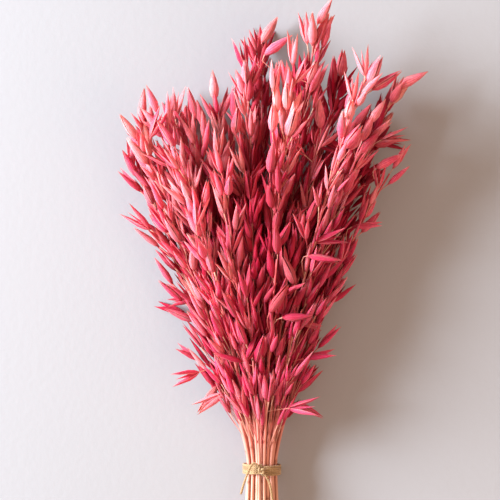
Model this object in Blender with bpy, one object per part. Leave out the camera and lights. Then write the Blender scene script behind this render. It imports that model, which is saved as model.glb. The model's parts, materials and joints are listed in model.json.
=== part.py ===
# A bundle of dyed, dried oat stalks, tied with twine and lying on its side.
# It lies along Y with its cut ends towards -Y and its panicles towards +Y, on a
# surface at z = 0. Places along a stem are given as s, the distance past the tie.
# Sizes are in metres and angles in radians.

import math
import random

import bmesh
import bpy
import numpy as np
from mathutils import Matrix, Vector

# Stems
STALKS = 44
SEED = 4
GOLDEN_ANGLE = math.radians(137.508)
STEM_RADIUS = 0.00130
RACHIS_RADIUS = 0.00070
TAIL_LENGTH = 0.105
CLEARANCE = 0.0003
WELD = 0.000002

# Tie: turns of twine side by side round the disc in which the stems are packed
DISC_RADIUS = 0.0122
TWINE_RADIUS = 0.0010
TWINE_TURNS = 5
TIE_SIDES = 20
TIE_INNER_RADIUS = DISC_RADIUS + STEM_RADIUS + CLEARANCE
TIE_OUTER_RADIUS = TIE_INNER_RADIUS + 2 * TWINE_RADIUS
KNOT_SIZE = (0.0034, 0.0026, 0.0022)
KNOT_RISE = 0.0012
TWINE_ENDS = (
    ((0.000, 0.000, 0.0000), (0.006, -0.010, 0.0006), (0.009, -0.026, 0.0001), (0.013, -0.034, 0.0010)),
    ((0.000, 0.000, 0.0000), (-0.007, 0.006, 0.0008), (-0.013, -0.006, 0.0006), (-0.017, -0.019, -0.0016)),
)

# Fan: how the disc widens past the tie, as (slope, curve), and slackens below it
FAN_WIDE = (16.0, 50.0)
FAN_DEEP = (8.5, 12.0)
FAN_LEFT, FAN_RIGHT = 1.2, 1.06
TAIL_FAN = 4.0
STRAIGHT = 0.010
HEAD_LIFT = 0.006
SETTLE_OVER = 0.15
STATIONS = (-TAIL_LENGTH, -0.05, -STRAIGHT, STRAIGHT, 0.05, 0.10, 0.15, 0.20, 0.25, 0.30, 0.36)
PUSHES = 80

# Crown: the end spikelets of the tallest stalks. Each has its neck's x and s, the way it points from +Y
# in degrees, and whether it is closed. The other stalks reach a share of the crown's height
CROWN = (
    (-0.104, 0.243, -14, False),
    (-0.099, 0.266, -37, True),
    (-0.097, 0.281, 0, True),
    (-0.083, 0.287, -16, True),
    (-0.070, 0.284, 8, False),
    (-0.054, 0.262, -12, False),
    (-0.038, 0.299, -8, True),
    (-0.013, 0.322, -6, False),
    (0.000, 0.346, 34, True),
    (0.024, 0.322, 6, False),
    (0.044, 0.357, 26, True),
    (0.063, 0.317, 14, True),
    (0.080, 0.313, -3, False),
    (0.109, 0.309, 62, True),
    (0.094, 0.287, 44, True),
    (0.105, 0.243, 30, False),
)
SPIKELET_LENGTH = (0.0225, 0.0285)
CROWN_EDGE = tuple(sorted((x, s + SPIKELET_LENGTH[1]) for x, s, way, shut in CROWN if s > 0.25))
CROWN_FAN = 0.30
SHORT_SHARE = (0.46, 0.97)
SHORT_STEP = 0.618
WANDER = 0.004

# Panicle: pairs of branches leave the stem, each pair further down, and each ends in a spikelet
PANICLE_LENGTH = 0.24
NECK_START = 0.026
WHORL_GAP = 0.0345
BRANCHES = 2
ROOT_STEP = 0.0065
ROOT_SLIM = 0.7
BRANCH_LENGTH = (0.008, 0.036)
BRANCH_ANGLE = (math.radians(12), math.radians(27))
BRANCH_RADIUS = 0.0005
STRAY_SHARE = 0.05
STRAY_ANGLE = (math.radians(50), math.radians(95))
TOP_ROOM = 0.004

# Spikelet: two glumes that close to one tip or gape to two
BELLY_AT = 0.34
BELLY_HALF_WIDTH = 0.0033
BELLY_HALF_DEPTH = 0.0023
NECK_SWELL = 1.3
OPEN_SHARE = 0.6
END_OPEN_SHARE = 0.35
CROWN_PLUMP = 1.25
GAPE = (math.radians(9), math.radians(17))
TURNS_TRIED = 26
DROP_WITHIN = 0.007

# Where the balls sit that test a spikelet for room: on its branch, up to its belly and on to a tip
BRANCH_STEPS = np.linspace(0, 1, 17)[:, None]
BELLY_STEPS = np.array([[0.25], [0.5], [0.75]])
TIP_STEPS = np.linspace(0.02, 0.98, 11)[:, None]
MOST_BALLS = 40000

# Spikelets that stick out of the bundle's outline: neck's x and s, and the way they point from +Y
OUTLIERS = (
    (0.028, 0.054, 118),
    (0.027, 0.062, 38),
    (-0.036, 0.068, -146),
    (-0.030, 0.062, -118),
    (-0.055, 0.120, -66),
    (-0.054, 0.138, -98),
    (0.002, 0.333, 55),
    (0.036, 0.341, -8),
    (0.086, 0.303, 58),
    (-0.089, 0.267, 27),
    (-0.089, 0.226, -44),
    (-0.090, 0.194, -52),
    (0.090, 0.262, 74),
    (0.083, 0.230, 46),
    (0.072, 0.196, 84),
    (0.036, 0.172, 97),
    (0.026, 0.122, 108),
)

CORAL = (0.78, 0.10, 0.13)
JUTE = (0.52, 0.36, 0.19)


def stalk_spot(k):
    """Where stalk k passes the tie, in a disc of radius 1, spaced as in a sunflower."""
    r = math.sqrt((k + 0.5) / STALKS)
    a = k * GOLDEN_ANGLE
    return r * math.cos(a), r * math.sin(a)


def fan_point(u, v, s):
    """Where the stem at (u, v) of the disc has got to at s, before it leans to its own tip."""
    past = max(abs(s) - STRAIGHT, 0)
    if s < 0:
        wide = deep = TAIL_FAN * past
    else:
        wide = (FAN_WIDE[0] + FAN_WIDE[1] * past) * past * (FAN_LEFT if u < 0 else FAN_RIGHT)
        deep = (FAN_DEEP[0] + FAN_DEEP[1] * past) * past
    t = min(max(s / SETTLE_OVER, 0), 1)
    t = t * t * (3 - 2 * t)
    above_edge = v + math.sqrt(max(1 - u * u, 0))
    height = (1 + v) * (1 - t) + above_edge * t
    low = TIE_OUTER_RADIUS - DISC_RADIUS
    z = low + height * DISC_RADIUS * (1 + deep) + HEAD_LIFT * t
    return Vector((u * DISC_RADIUS * (1 + wide), s, z))


def crown_height(x):
    """How far the crown reaches at x."""
    return float(np.interp(x, *zip(*CROWN_EDGE)))


class Stalk:
    """One oat stalk: a stem that leaves its place in the tie for its own tip, and its spikelets."""

    def __init__(self, k):
        self.k = k
        self.u, self.v = stalk_spot(k)
        self.way = self.shut = None
        self.spikelets = []

    def aim(self, x, s, reach):
        """Sets the path that leans over to x at s, and the reach past the tie."""
        self.reach = reach
        lean = x - fan_point(self.u, self.v, s).x
        self.path = np.array([fan_point(self.u, self.v, t) for t in STATIONS])
        self.path[:, 0] += lean * (np.clip(STATIONS, 0, None) / s) ** 2

    def end(self):
        """Where the stem ends and its last spikelet begins."""
        return self.reach - SPIKELET_LENGTH[1] - TOP_ROOM

    def point(self, s):
        """The stem's middle at s, on straight lines between the stations."""
        i = min(max(int(np.searchsorted(STATIONS, s)) - 1, 0), len(STATIONS) - 2)
        share = (s - STATIONS[i]) / (STATIONS[i + 1] - STATIONS[i])
        return Vector(self.path[i]).lerp(Vector(self.path[i + 1]), share)

    def along(self, s):
        step = 0.001
        return (self.point(s + step) - self.point(s - step)).normalized()

    def radius(self, s):
        t = min(max(s / self.end(), 0), 1)
        return STEM_RADIUS + (RACHIS_RADIUS - STEM_RADIUS) * t

    def whorls(self):
        """Where pairs of branches leave the stem, from the top down."""
        length = min(PANICLE_LENGTH, self.end() - NECK_START)
        count = int(length / WHORL_GAP)
        return [self.end() - length * (i + 0.4) / count for i in range(count)]


def aimed_stalks():
    """All stalks, the tallest aimed at the crown's spikelets and the others at heights below it."""
    stalks = [Stalk(k) for k in range(STALKS)]
    waiting = list(stalks)
    for x, s, way, shut in CROWN:
        nearest = min(waiting, key=lambda a: abs(fan_point(a.u, a.v, s).x - x))
        nearest.aim(x, s, s + SPIKELET_LENGTH[1])
        nearest.way, nearest.shut = way, shut
        waiting.remove(nearest)
    low, high = SHORT_SHARE
    for i, stalk in enumerate(waiting):
        share = low + (high - low) * (i * SHORT_STEP % 1)
        s = share * crown_height(fan_point(stalk.u, stalk.v, CROWN_FAN).x)
        wander = random.Random(SEED * 1000 + stalk.k).uniform(-WANDER, WANDER)
        stalk.aim(fan_point(stalk.u, stalk.v, s).x + wander, s, s)
    push_apart(stalks)
    return stalks


def push_apart(stalks):
    """Moves the stems where two of them come too close between the same two stations."""
    paths = np.array([a.path for a in stalks])
    ends = np.array([a.end() for a in stalks])
    radii = np.array([[a.radius(s) for s in STATIONS] for a in stalks])
    i, j = np.triu_indices(len(stalks), 1)
    for _ in range(PUSHES):
        for n in range(len(STATIONS) - 1):
            both = (ends[i] > STATIONS[n]) & (ends[j] > STATIONS[n])
            a, b = i[both], j[both]
            start = (paths[a, n] - paths[b, n])[:, ::2]
            change = (paths[a, n + 1] - paths[b, n + 1])[:, ::2] - start
            t = -(start * change).sum(1) / np.maximum((change**2).sum(1), 1e-12)
            t = np.clip(t, 0, 1)[:, None]
            nearest = start + t * change
            apart = np.linalg.norm(nearest, axis=1)
            short = radii[a, n] + radii[b, n] + 2 * CLEARANCE - apart
            push = nearest / apart[:, None] * np.maximum(short, 0)[:, None] / 2
            for m, share in ((n, 1 - t), (n + 1, t)):
                if abs(STATIONS[m]) > STRAIGHT:
                    np.add.at(paths, (a[:, None], m, [[0, 2]]), push * share)
                    np.add.at(paths, (b[:, None], m, [[0, 2]]), -push * share)
        paths[:, :, 2] = np.maximum(paths[:, :, 2], radii + CLEARANCE)
    for stalk, path in zip(stalks, paths):
        stalk.path = path


class Spikelet:
    """A branch from its root on the stem to its neck, and the two glumes past it."""

    def __init__(self, root, neck, ahead, roll, length, gape, plump=1.0):
        self.root, self.neck, self.ahead = root, neck, ahead
        self.length, self.gape, self.plump = length, gape, plump
        side = ahead.cross(Vector((0, 0, 1))).normalized()
        self.across = side * math.cos(roll) + ahead.cross(side) * math.sin(roll)
        self.through = ahead.cross(self.across)

    def belly(self):
        return self.neck + self.ahead * self.length * BELLY_AT

    def tips(self):
        """One tip, or two where the glumes gape."""
        far = self.neck + self.ahead * self.length
        if not self.gape:
            return [far]
        apart = self.across * self.length * math.tan(self.gape)
        return [far - apart, far + apart]

    def corners(self):
        """The belly's four corners, going round."""
        m, a, t = self.belly(), self.across * BELLY_HALF_WIDTH, self.through * BELLY_HALF_DEPTH
        return [m - a * self.plump, m - t * self.plump, m + a * self.plump, m + t * self.plump]

    def settle(self):
        """Lowers the glumes onto the surface if they are near it. False if they are under it."""
        low = min(p.z for p in self.corners() + self.tips())
        if 0 <= low < DROP_WITHIN:
            self.neck = self.neck - Vector((0, 0, low))
        return low >= 0 and self.neck.z > BRANCH_RADIUS * NECK_SWELL + CLEARANCE

    def balls(self):
        """The spikelet as balls: (centres, radii, whether each is part of the glumes)."""
        root, neck, belly = (np.array(p) for p in (self.root, self.neck, self.belly()))
        wide = BELLY_HALF_WIDTH * self.plump
        centres = [root + (neck - root) * BRANCH_STEPS, neck + (belly - neck) * BELLY_STEPS]
        centres += [belly + (np.array(tip) - belly) * TIP_STEPS for tip in self.tips()]
        radii = [np.full(len(BRANCH_STEPS), BRANCH_RADIUS), wide * BELLY_STEPS[:, 0]]
        radii += [wide * (1 - TIP_STEPS[:, 0])] * len(self.tips())
        radii = np.concatenate(radii)
        return np.concatenate(centres), radii, np.arange(len(radii)) >= len(BRANCH_STEPS)


class Room:
    """The space taken so far, as balls. A stalk's branches may touch that stalk, its glumes may not."""

    def __init__(self, stalks):
        self.count = 0
        self.centres = np.zeros((MOST_BALLS, 3))
        self.radii = np.zeros(MOST_BALLS)
        self.owners = np.zeros(MOST_BALLS, int)
        self.branch = np.zeros(MOST_BALLS, bool)
        for stalk in stalks:
            s = np.arange(-TAIL_LENGTH, stalk.end() + CLEARANCE, 0.0025)
            centres = np.array([stalk.point(x) for x in s])
            radii = np.array([stalk.radius(x) for x in s])
            self.take(stalk.k, centres, radii, np.zeros(len(s), bool))

    def take(self, owner, centres, radii, branch):
        spot = slice(self.count, self.count + len(radii))
        self.centres[spot], self.radii[spot], self.owners[spot], self.branch[spot] = centres, radii, owner, branch
        self.count += len(radii)

    def fit(self, stalk, choices):
        """Gives the stalk the first of the choices that is clear of all else."""
        margin = 2 * BELLY_HALF_WIDTH * CROWN_PLUMP + CLEARANCE
        for spikelet in choices:
            if not spikelet.settle():
                continue
            centres, radii, glume = spikelet.balls()
            taken = self.centres[: self.count]
            near = ((taken > centres.min(0) - margin) & (taken < centres.max(0) + margin)).all(1)
            near = np.flatnonzero(near)
            apart = np.linalg.norm(self.centres[near] - centres[:, None], axis=2)
            clash = apart <= self.radii[near] + radii[:, None] + CLEARANCE
            own = (self.owners[near] == stalk.k) & (~glume[:, None] | self.branch[near])
            if not (clash & ~own).any():
                self.take(stalk.k, centres, radii, ~glume)
                stalk.spikelets.append(spikelet)
                return True
        return False


def end_choices(stalk):
    """Ways to set the spikelet at the stem's end, on along the stem or the way that the crown gives."""
    rng = random.Random(SEED * 100000 + stalk.k * 1000 + 999)
    root = stalk.point(stalk.end() - TOP_ROOM)
    neck = stalk.point(stalk.end() + TOP_ROOM)
    shut = rng.random() > END_OPEN_SHARE if stalk.shut is None else stalk.shut
    gape = 0 if shut else rng.uniform(*GAPE)
    plump = CROWN_PLUMP if stalk.shut else 1.0
    length = rng.uniform(*SPIKELET_LENGTH)
    for _ in range(TURNS_TRIED):
        lean = Vector((rng.uniform(-0.3, 0.3), 0, rng.uniform(-0.25, 0.25)))
        ahead = stalk.along(stalk.end())
        if stalk.way is not None:
            way = math.radians(stalk.way)
            ahead, lean.x = Vector((math.sin(way), math.cos(way), ahead.z)), 0.4 * lean.x
        yield Spikelet(root, neck, (ahead + lean).normalized(), rng.uniform(0, math.pi), length, gape, plump)


def branch_choices(stalk, s, whorl, branch):
    """Ways to set one spikelet, the first as wished and the others turned round the stem."""
    rng = random.Random(SEED * 100000 + stalk.k * 1000 + whorl * 10 + branch)
    down = min((stalk.end() - s) / PANICLE_LENGTH, 1)
    reach = BRANCH_LENGTH[0] + (BRANCH_LENGTH[1] - BRANCH_LENGTH[0]) * down
    reach *= rng.uniform(0.6, 1.1)
    angle = rng.uniform(*(STRAY_ANGLE if rng.random() < STRAY_SHARE else BRANCH_ANGLE))
    bend = math.radians(rng.uniform(-9, 11))
    gape = rng.uniform(*GAPE) if rng.random() < OPEN_SHARE else 0
    length = rng.uniform(*SPIKELET_LENGTH)
    roll = rng.uniform(0, math.pi)
    start = whorl * GOLDEN_ANGLE + (branch + rng.uniform(-0.2, 0.2)) * 2 * math.pi / BRANCHES
    root, up = stalk.point(s - ROOT_STEP * branch), stalk.along(s)
    side = up.cross(Vector((0, 0, 1))).normalized()
    for i in range(TURNS_TRIED):
        turn = start + (-1) ** i * ((i + 1) // 2) * 2 * math.pi / TURNS_TRIED
        slim = 1 - 0.35 * i / TURNS_TRIED
        out = side * math.cos(turn) + up.cross(side) * math.sin(turn)
        neck = root + (up * math.cos(angle * slim) + out * math.sin(angle * slim)) * reach
        tilt = (angle + bend) * slim
        yield Spikelet(root, neck, up * math.cos(tilt) + out * math.sin(tilt), roll, length, gape)


def outlier_choices(stalk, x, s, way):
    """Ways to set a spikelet that sticks out at (x, s), the lowest first."""
    rng = random.Random(SEED * 100000 + int(s * 10000))
    gape = rng.uniform(*GAPE) if rng.random() < OPEN_SHARE else 0
    length = rng.uniform(*SPIKELET_LENGTH)
    for i in range(TURNS_TRIED):
        root = stalk.point(s - 0.022 + 0.0004 * i)
        neck = Vector((x, s, root.z + 0.002 + 0.0006 * i))
        ahead = Vector((math.sin(math.radians(way)), math.cos(math.radians(way)), 0.1))
        yield Spikelet(root, neck, ahead.normalized(), rng.uniform(0, math.pi), length, gape)


def fill_stalks(stalks):
    """Gives every stalk its spikelets: outliers, the stem's end and then branches from the top down."""
    room = Room(stalks)
    for x, s, way in OUTLIERS:
        outer = [a for a in stalks if a.end() > s and a.v > -0.2]
        nearest = min(outer, key=lambda a: abs(a.point(s).x - x))
        room.fit(nearest, outlier_choices(nearest, x, s, way))
    for stalk in stalks:
        room.fit(stalk, end_choices(stalk))
    most = max(len(a.whorls()) for a in stalks)
    for whorl in range(most):
        for stalk in stalks:
            if whorl < len(stalk.whorls()):
                for branch in range(BRANCHES):
                    room.fit(stalk, branch_choices(stalk, stalk.whorls()[whorl], whorl, branch))


def material(name, colour, roughness):
    made = bpy.data.materials.new(name)
    made.use_nodes = True
    shader = made.node_tree.nodes["Principled BSDF"]
    shader.inputs["Base Color"].default_value = (*colour, 1)
    shader.inputs["Roughness"].default_value = roughness
    shader.inputs["Metallic"].default_value = 0
    return made


def mesh_from(shape, name):
    """The finished bmesh as a mesh with its faces turned outwards."""
    bmesh.ops.recalc_face_normals(shape, faces=shape.faces)
    mesh = bpy.data.meshes.new(name)
    shape.to_mesh(mesh)
    shape.free()
    return mesh


def link(name, mesh, collection=None):
    made = bpy.data.objects.new(name, mesh)
    (collection or bpy.context.scene.collection).objects.link(made)
    return made


def tube(name, points, radii, sides):
    """A closed tube along the points."""
    shape = bmesh.new()
    rings = []
    for i, (point, radius) in enumerate(zip(points, radii)):
        before, after = points[max(i - 1, 0)], points[min(i + 1, len(points) - 1)]
        up = (after - before).normalized()
        side = up.orthogonal().normalized() if i == 0 else up.cross(side.cross(up)).normalized()
        ring = []
        for j in range(sides):
            a = 2 * math.pi * j / sides
            ring.append(shape.verts.new(point + (side * math.cos(a) + up.cross(side) * math.sin(a)) * radius))
        rings.append(ring)
    for low, high in zip(rings, rings[1:]):
        for j in range(sides):
            k = (j + 1) % sides
            shape.faces.new((low[j], low[k], high[k], high[j]))
    shape.faces.new(rings[0])
    shape.faces.new(rings[-1])
    return mesh_from(shape, name)


def spikelet_mesh(spikelet):
    """The branch with three sides, and the glumes with four, as one closed shape."""
    shape = bmesh.new()
    along = (spikelet.neck - spikelet.root).normalized()

    def ring(middle, up, radius):
        t = up.cross(spikelet.across).normalized() * radius
        a = t.cross(up)
        corners = (-a, a * 0.5 - t * 0.866, a * 0.5 + t * 0.866)
        return [shape.verts.new(middle + d) for d in corners]

    root = ring(spikelet.root, along, BRANCH_RADIUS * ROOT_SLIM)
    neck = ring(spikelet.neck, (along + spikelet.ahead).normalized(), BRANCH_RADIUS * NECK_SWELL)
    left, front, right, back = [shape.verts.new(p) for p in spikelet.corners()]
    shape.faces.new(root)
    for i in range(3):
        j = (i + 1) % 3
        shape.faces.new((root[i], neck[i], neck[j]))
        shape.faces.new((root[i], neck[j], root[j]))
    for corners in (
        (neck[0], left, front),
        (neck[0], front, neck[1]),
        (neck[1], front, right),
        (neck[1], right, neck[2]),
        (neck[2], right, back),
        (neck[2], back, neck[0]),
        (neck[0], back, left),
    ):
        shape.faces.new(corners)
    tips = [shape.verts.new(p) for p in spikelet.tips()]
    belly = (left, front, right, back)
    if len(tips) == 1:
        for i in range(4):
            shape.faces.new((belly[i], tips[0], belly[(i + 1) % 4]))
    else:
        for a, b, c, tip in ((back, left, front, tips[0]), (front, right, back, tips[1])):
            for low, high in ((a, b), (b, c), (c, a)):
                shape.faces.new((low, tip, high))
    return mesh_from(shape, "spikelet")


def fuse(base, pieces):
    """Joins the pieces to the base object with one Boolean union."""
    group = bpy.data.collections.new(base.name + "_pieces")
    bpy.context.scene.collection.children.link(group)
    for i, mesh in enumerate(pieces):
        link(f"{base.name}_piece_{i}", mesh, group)
    union = base.modifiers.new("union", "BOOLEAN")
    union.operation = "UNION"
    union.operand_type = "COLLECTION"
    union.collection = group
    union.solver = "MANIFOLD"
    graph = bpy.context.evaluated_depsgraph_get()
    fused = bpy.data.meshes.new_from_object(base.evaluated_get(graph))
    base.modifiers.clear()
    base.data = fused
    for obj in list(group.objects):
        bpy.data.objects.remove(obj)
    bpy.data.collections.remove(group)
    drop_scraps(fused)


def drop_scraps(mesh):
    """Welds the mesh, closes it and keeps its largest shell, as the union may leave scraps."""
    shape = bmesh.new()
    shape.from_mesh(mesh)
    bmesh.ops.remove_doubles(shape, verts=shape.verts, dist=WELD)
    bmesh.ops.holes_fill(shape, edges=[e for e in shape.edges if e.is_boundary])
    left = set(shape.faces)
    shells = []
    while left:
        shell, edge = set(), [left.pop()]
        while edge:
            face = edge.pop()
            shell.add(face)
            near = {f for e in face.edges for f in e.link_faces} & left
            left -= near
            edge.extend(near)
        shells.append(shell)
    shells.sort(key=len)
    for shell in shells[:-1]:
        bmesh.ops.delete(shape, geom=list(shell), context="FACES")
    shape.to_mesh(mesh)
    shape.free()


def build_stalk(stalk, finish):
    """The stem with all its spikelets as one solid."""
    name = f"oat_stalk_{stalk.k + 1:02d}"
    places = [s for s in STATIONS if s < stalk.end() - TOP_ROOM] + [stalk.end()]
    stem = tube(name, [stalk.point(s) for s in places], [stalk.radius(s) for s in places], 4)
    made = link(name, stem)
    fuse(made, [spikelet_mesh(s) for s in stalk.spikelets])
    made.data.materials.clear()
    made.data.materials.append(finish)


def tie_ring():
    """The turns of twine as a ring with a ridge for each turn and a flat to rest on."""
    start = -TWINE_TURNS * TWINE_RADIUS
    profile = [(start, TIE_INNER_RADIUS)]
    for i in range(TWINE_TURNS):
        y = start + i * 2 * TWINE_RADIUS
        profile.append((y + 0.1 * TWINE_RADIUS, TIE_OUTER_RADIUS - TWINE_RADIUS))
        profile.append((y + 0.6 * TWINE_RADIUS, TIE_OUTER_RADIUS))
        profile.append((y + 1.4 * TWINE_RADIUS, TIE_OUTER_RADIUS))
    profile.append((-start - 0.1 * TWINE_RADIUS, TIE_OUTER_RADIUS - TWINE_RADIUS))
    profile.append((-start, TIE_INNER_RADIUS))
    half = math.pi / TIE_SIDES
    shape = bmesh.new()
    rings = []
    for i in range(TIE_SIDES):
        a = half * (2 * i + 1)
        ring = []
        for y, r in profile:
            r /= math.cos(half)
            ring.append(shape.verts.new((r * math.sin(a), y, TIE_OUTER_RADIUS - r * math.cos(a))))
        rings.append(ring)
    for i, ring in enumerate(rings):
        after = rings[(i + 1) % TIE_SIDES]
        for j in range(len(profile)):
            k = (j + 1) % len(profile)
            shape.faces.new((ring[j], ring[k], after[k], after[j]))
    return mesh_from(shape, "twine_tie")


def build_tie(finish):
    """The ring with its knot on top and the twine's two ends."""
    made = link("twine_tie", tie_ring())
    middle = Vector((0, 0, 2 * TIE_OUTER_RADIUS + KNOT_RISE))
    shape = bmesh.new()
    bmesh.ops.create_icosphere(shape, subdivisions=1, radius=1)
    bmesh.ops.scale(shape, verts=shape.verts, vec=KNOT_SIZE)
    bmesh.ops.translate(shape, verts=shape.verts, vec=middle)
    pieces = [mesh_from(shape, "knot")]
    for i, ends in enumerate(TWINE_ENDS):
        points = [middle + Vector(p) for p in ends]
        pieces.append(tube(f"twine_end_{i}", points, [0.8 * TWINE_RADIUS] * len(points), 5))
    fuse(made, pieces)
    made.data.materials.clear()
    made.data.materials.append(finish)


def centre_on_surface():
    """Moves everything so that the origin is under the middle of the whole bundle."""
    solids = [obj for obj in bpy.data.objects if obj.type == "MESH"]
    points = np.array([v.co for obj in solids for v in obj.data.vertices])
    low, high = points.min(0), points.max(0)
    shift = Matrix.Translation((-(low[0] + high[0]) / 2, -(low[1] + high[1]) / 2, -low[2]))
    for obj in solids:
        obj.data.transform(shift)


for obj in list(bpy.data.objects):
    bpy.data.objects.remove(obj)
stalks = aimed_stalks()
fill_stalks(stalks)
oats = material("dyed_oats", CORAL, 0.7)
twine = material("jute", JUTE, 0.9)
for stalk in stalks:
    build_stalk(stalk, oats)
build_tie(twine)
centre_on_surface()
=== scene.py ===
# Bundle of coral-dyed dried oats, tied with jute twine and laid on a pale floor.
# It lies along Y, cut ends towards -Y. A place along a stem is s, the distance past the tie.
# Sizes are in metres unless a name says otherwise.
import json
import math
import random
import time

import bmesh
import bpy
import numpy as np
from mathutils import Matrix, Quaternion, Vector

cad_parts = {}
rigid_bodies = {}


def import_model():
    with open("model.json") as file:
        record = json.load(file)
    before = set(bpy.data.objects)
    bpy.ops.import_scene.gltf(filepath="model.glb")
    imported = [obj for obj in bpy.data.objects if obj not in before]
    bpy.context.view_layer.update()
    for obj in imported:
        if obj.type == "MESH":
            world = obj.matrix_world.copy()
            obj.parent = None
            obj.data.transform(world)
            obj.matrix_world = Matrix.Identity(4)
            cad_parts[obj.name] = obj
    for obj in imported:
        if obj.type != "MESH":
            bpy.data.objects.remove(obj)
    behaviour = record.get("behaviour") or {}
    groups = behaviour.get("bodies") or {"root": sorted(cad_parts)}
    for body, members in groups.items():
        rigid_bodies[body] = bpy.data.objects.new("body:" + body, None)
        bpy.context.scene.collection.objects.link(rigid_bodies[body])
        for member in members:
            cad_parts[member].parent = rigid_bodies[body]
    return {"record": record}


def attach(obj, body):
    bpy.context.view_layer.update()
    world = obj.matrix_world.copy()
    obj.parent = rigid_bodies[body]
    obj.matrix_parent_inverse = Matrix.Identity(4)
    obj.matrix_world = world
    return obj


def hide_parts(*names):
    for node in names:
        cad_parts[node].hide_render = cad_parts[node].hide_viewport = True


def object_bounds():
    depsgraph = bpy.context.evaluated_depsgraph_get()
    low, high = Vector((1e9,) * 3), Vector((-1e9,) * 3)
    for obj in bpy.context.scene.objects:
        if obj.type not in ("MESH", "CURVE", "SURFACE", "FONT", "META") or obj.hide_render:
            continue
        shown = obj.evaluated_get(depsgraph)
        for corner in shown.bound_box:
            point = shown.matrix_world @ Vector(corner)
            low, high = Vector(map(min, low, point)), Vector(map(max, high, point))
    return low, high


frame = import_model()
started = time.time()
cadBox = [list(corner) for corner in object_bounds()]
tiePlace = Vector(frame["record"]["mounts"][0]["pos_m"])  # under the middle of the tie

seed = 4
draws = {"wander": 1000, "spikelet": 100000, "filler": 300000, "thinning": 900, "drawing": 7777}
goldenAngle = math.radians(137.508)

stems = {
    "count": 44,
    "radius": 0.00130,
    "topRadius": 0.00070,
    "tail": 0.105,  # from the tie to the cut ends
    "clearance": 0.0003,
    "straight": 0.010,
    "stations": (-0.105, -0.05, -0.010, 0.010, 0.05, 0.10, 0.15, 0.20, 0.25, 0.30, 0.36),
    "pushes": 80,
    "sides": 8,
    "step": 0.008,  # between two points of a smooth stem
    "lastStep": 0.002,
    "ballStep": 0.0025,  # between the balls that stand for its room
    "firstJoint": (0.012, 0.060),  # from the cut end to the first swollen joint of a culm
    "jointGap": (0.045, 0.075),  # and between two of them
    "jointsUnder": 0.09,
    "jointSwell": 1.22,
    "jointHalf": 0.0024,
    "jointPoints": (-0.0026, -0.0012, 0, 0.0012, 0.0026),
    "jointClear": 0.0035,  # no other point this near a joint
    "wallShare": 0.62,  # how wide the hollow of a cut straw is
    "hollowDepth": 0.004,
}
twine = {
    "discRadius": 0.0122,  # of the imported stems' middles
    "radius": 0.0010,
    "turns": 5,
    "plies": 3,
    "plyRadius": 0.00052,
    "plyPitch": 0.0068,
    "plySides": 6,
    "plyStep": 0.0006,
    "turnPoints": 40,
    "wobble": 0.00012,
    "knotSize": (0.0034, 0.0026, 0.0022),
    "knotRise": 0.0012,
    "knotTight": 0.8,
    "knotPoints": 48,
    "endPoints": 8,  # to each stretch of the ends below
    "ends": (
        ((0.000, 0.000, 0.0000), (0.006, -0.010, 0.0006), (0.009, -0.026, 0.0001), (0.013, -0.034, 0.0010)),
        ((0.000, 0.000, 0.0000), (-0.007, 0.006, 0.0008), (-0.013, -0.006, 0.0006), (-0.017, -0.019, -0.0016)),
    ),
}
twine["innerRadius"] = twine["discRadius"] + stems["radius"] + stems["clearance"]
twine["outerRadius"] = twine["innerRadius"] + 2 * twine["radius"]

fan = {
    "wide": (16.0, 50.0),  # slope and curve of the spread sideways
    "deep": (8.5, 12.0),  # and upwards
    "left": 1.2,
    "right": 1.06,
    "tail": 4.0,
    "lift": 0.006,
    "settleOver": 0.15,
}
crown = {
    # the last spikelet of each of the tallest stalks: its neck's x and s, the way it points from +Y in degrees,
    # and whether it is closed
    "ends": (
        (-0.104, 0.243, -14, False), (-0.099, 0.266, -37, True), (-0.097, 0.281, 0, True),
        (-0.083, 0.287, -16, True), (-0.070, 0.284, 8, False), (-0.054, 0.262, -12, False),
        (-0.038, 0.299, -8, True), (-0.013, 0.322, -6, False), (0.000, 0.346, 34, True),
        (0.024, 0.322, 6, False), (0.044, 0.357, 26, True), (0.063, 0.317, 14, True),
        (0.080, 0.313, -3, False), (0.109, 0.309, 62, True), (0.094, 0.287, 44, True),
        (0.105, 0.243, 30, False),
    ),
    "edgeAbove": 0.25,
    "fanAt": 0.30,
    "shortShare": (0.46, 0.97),
    "shortStep": 0.618,
    "wander": 0.004,
}
panicle = {
    "length": 0.24,
    "neckStart": 0.026,
    "whorlGap": 0.0345,
    "whorlAt": 0.4,  # share of a gap from the stem's end to the first whorl
    "branches": 2,
    "rootStep": 0.0065,
    "branchLength": (0.008, 0.036),
    "branchAngle": (math.radians(12), math.radians(27)),
    "branchRadius": 0.0005,  # of the room that a branch takes
    "drawnRadius": 0.00031,
    "branchSides": 5,
    "branchPoints": 5,
    "foot": 1.25,  # how much thicker a branch is at its stem, under its spikelet and inside it
    "head": 1.9,
    "cup": 2.4,
    "cupDepth": 0.05,  # share of the spikelet
    "leave": (1.3, 0.3),  # how much it leaves towards its neck, and against the way its spikelet points
    "reachShare": (0.6, 1.1),
    "turnWander": 0.2,
    "bend": (-9, 11),  # of a spikelet on its branch, in degrees
    "slimming": 0.35,  # how much nearer its stem a branch that finds no room may stand
    "strayShare": 0.05,
    "strayAngle": (math.radians(50), math.radians(95)),
    "topRoom": 0.004,
}
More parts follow.
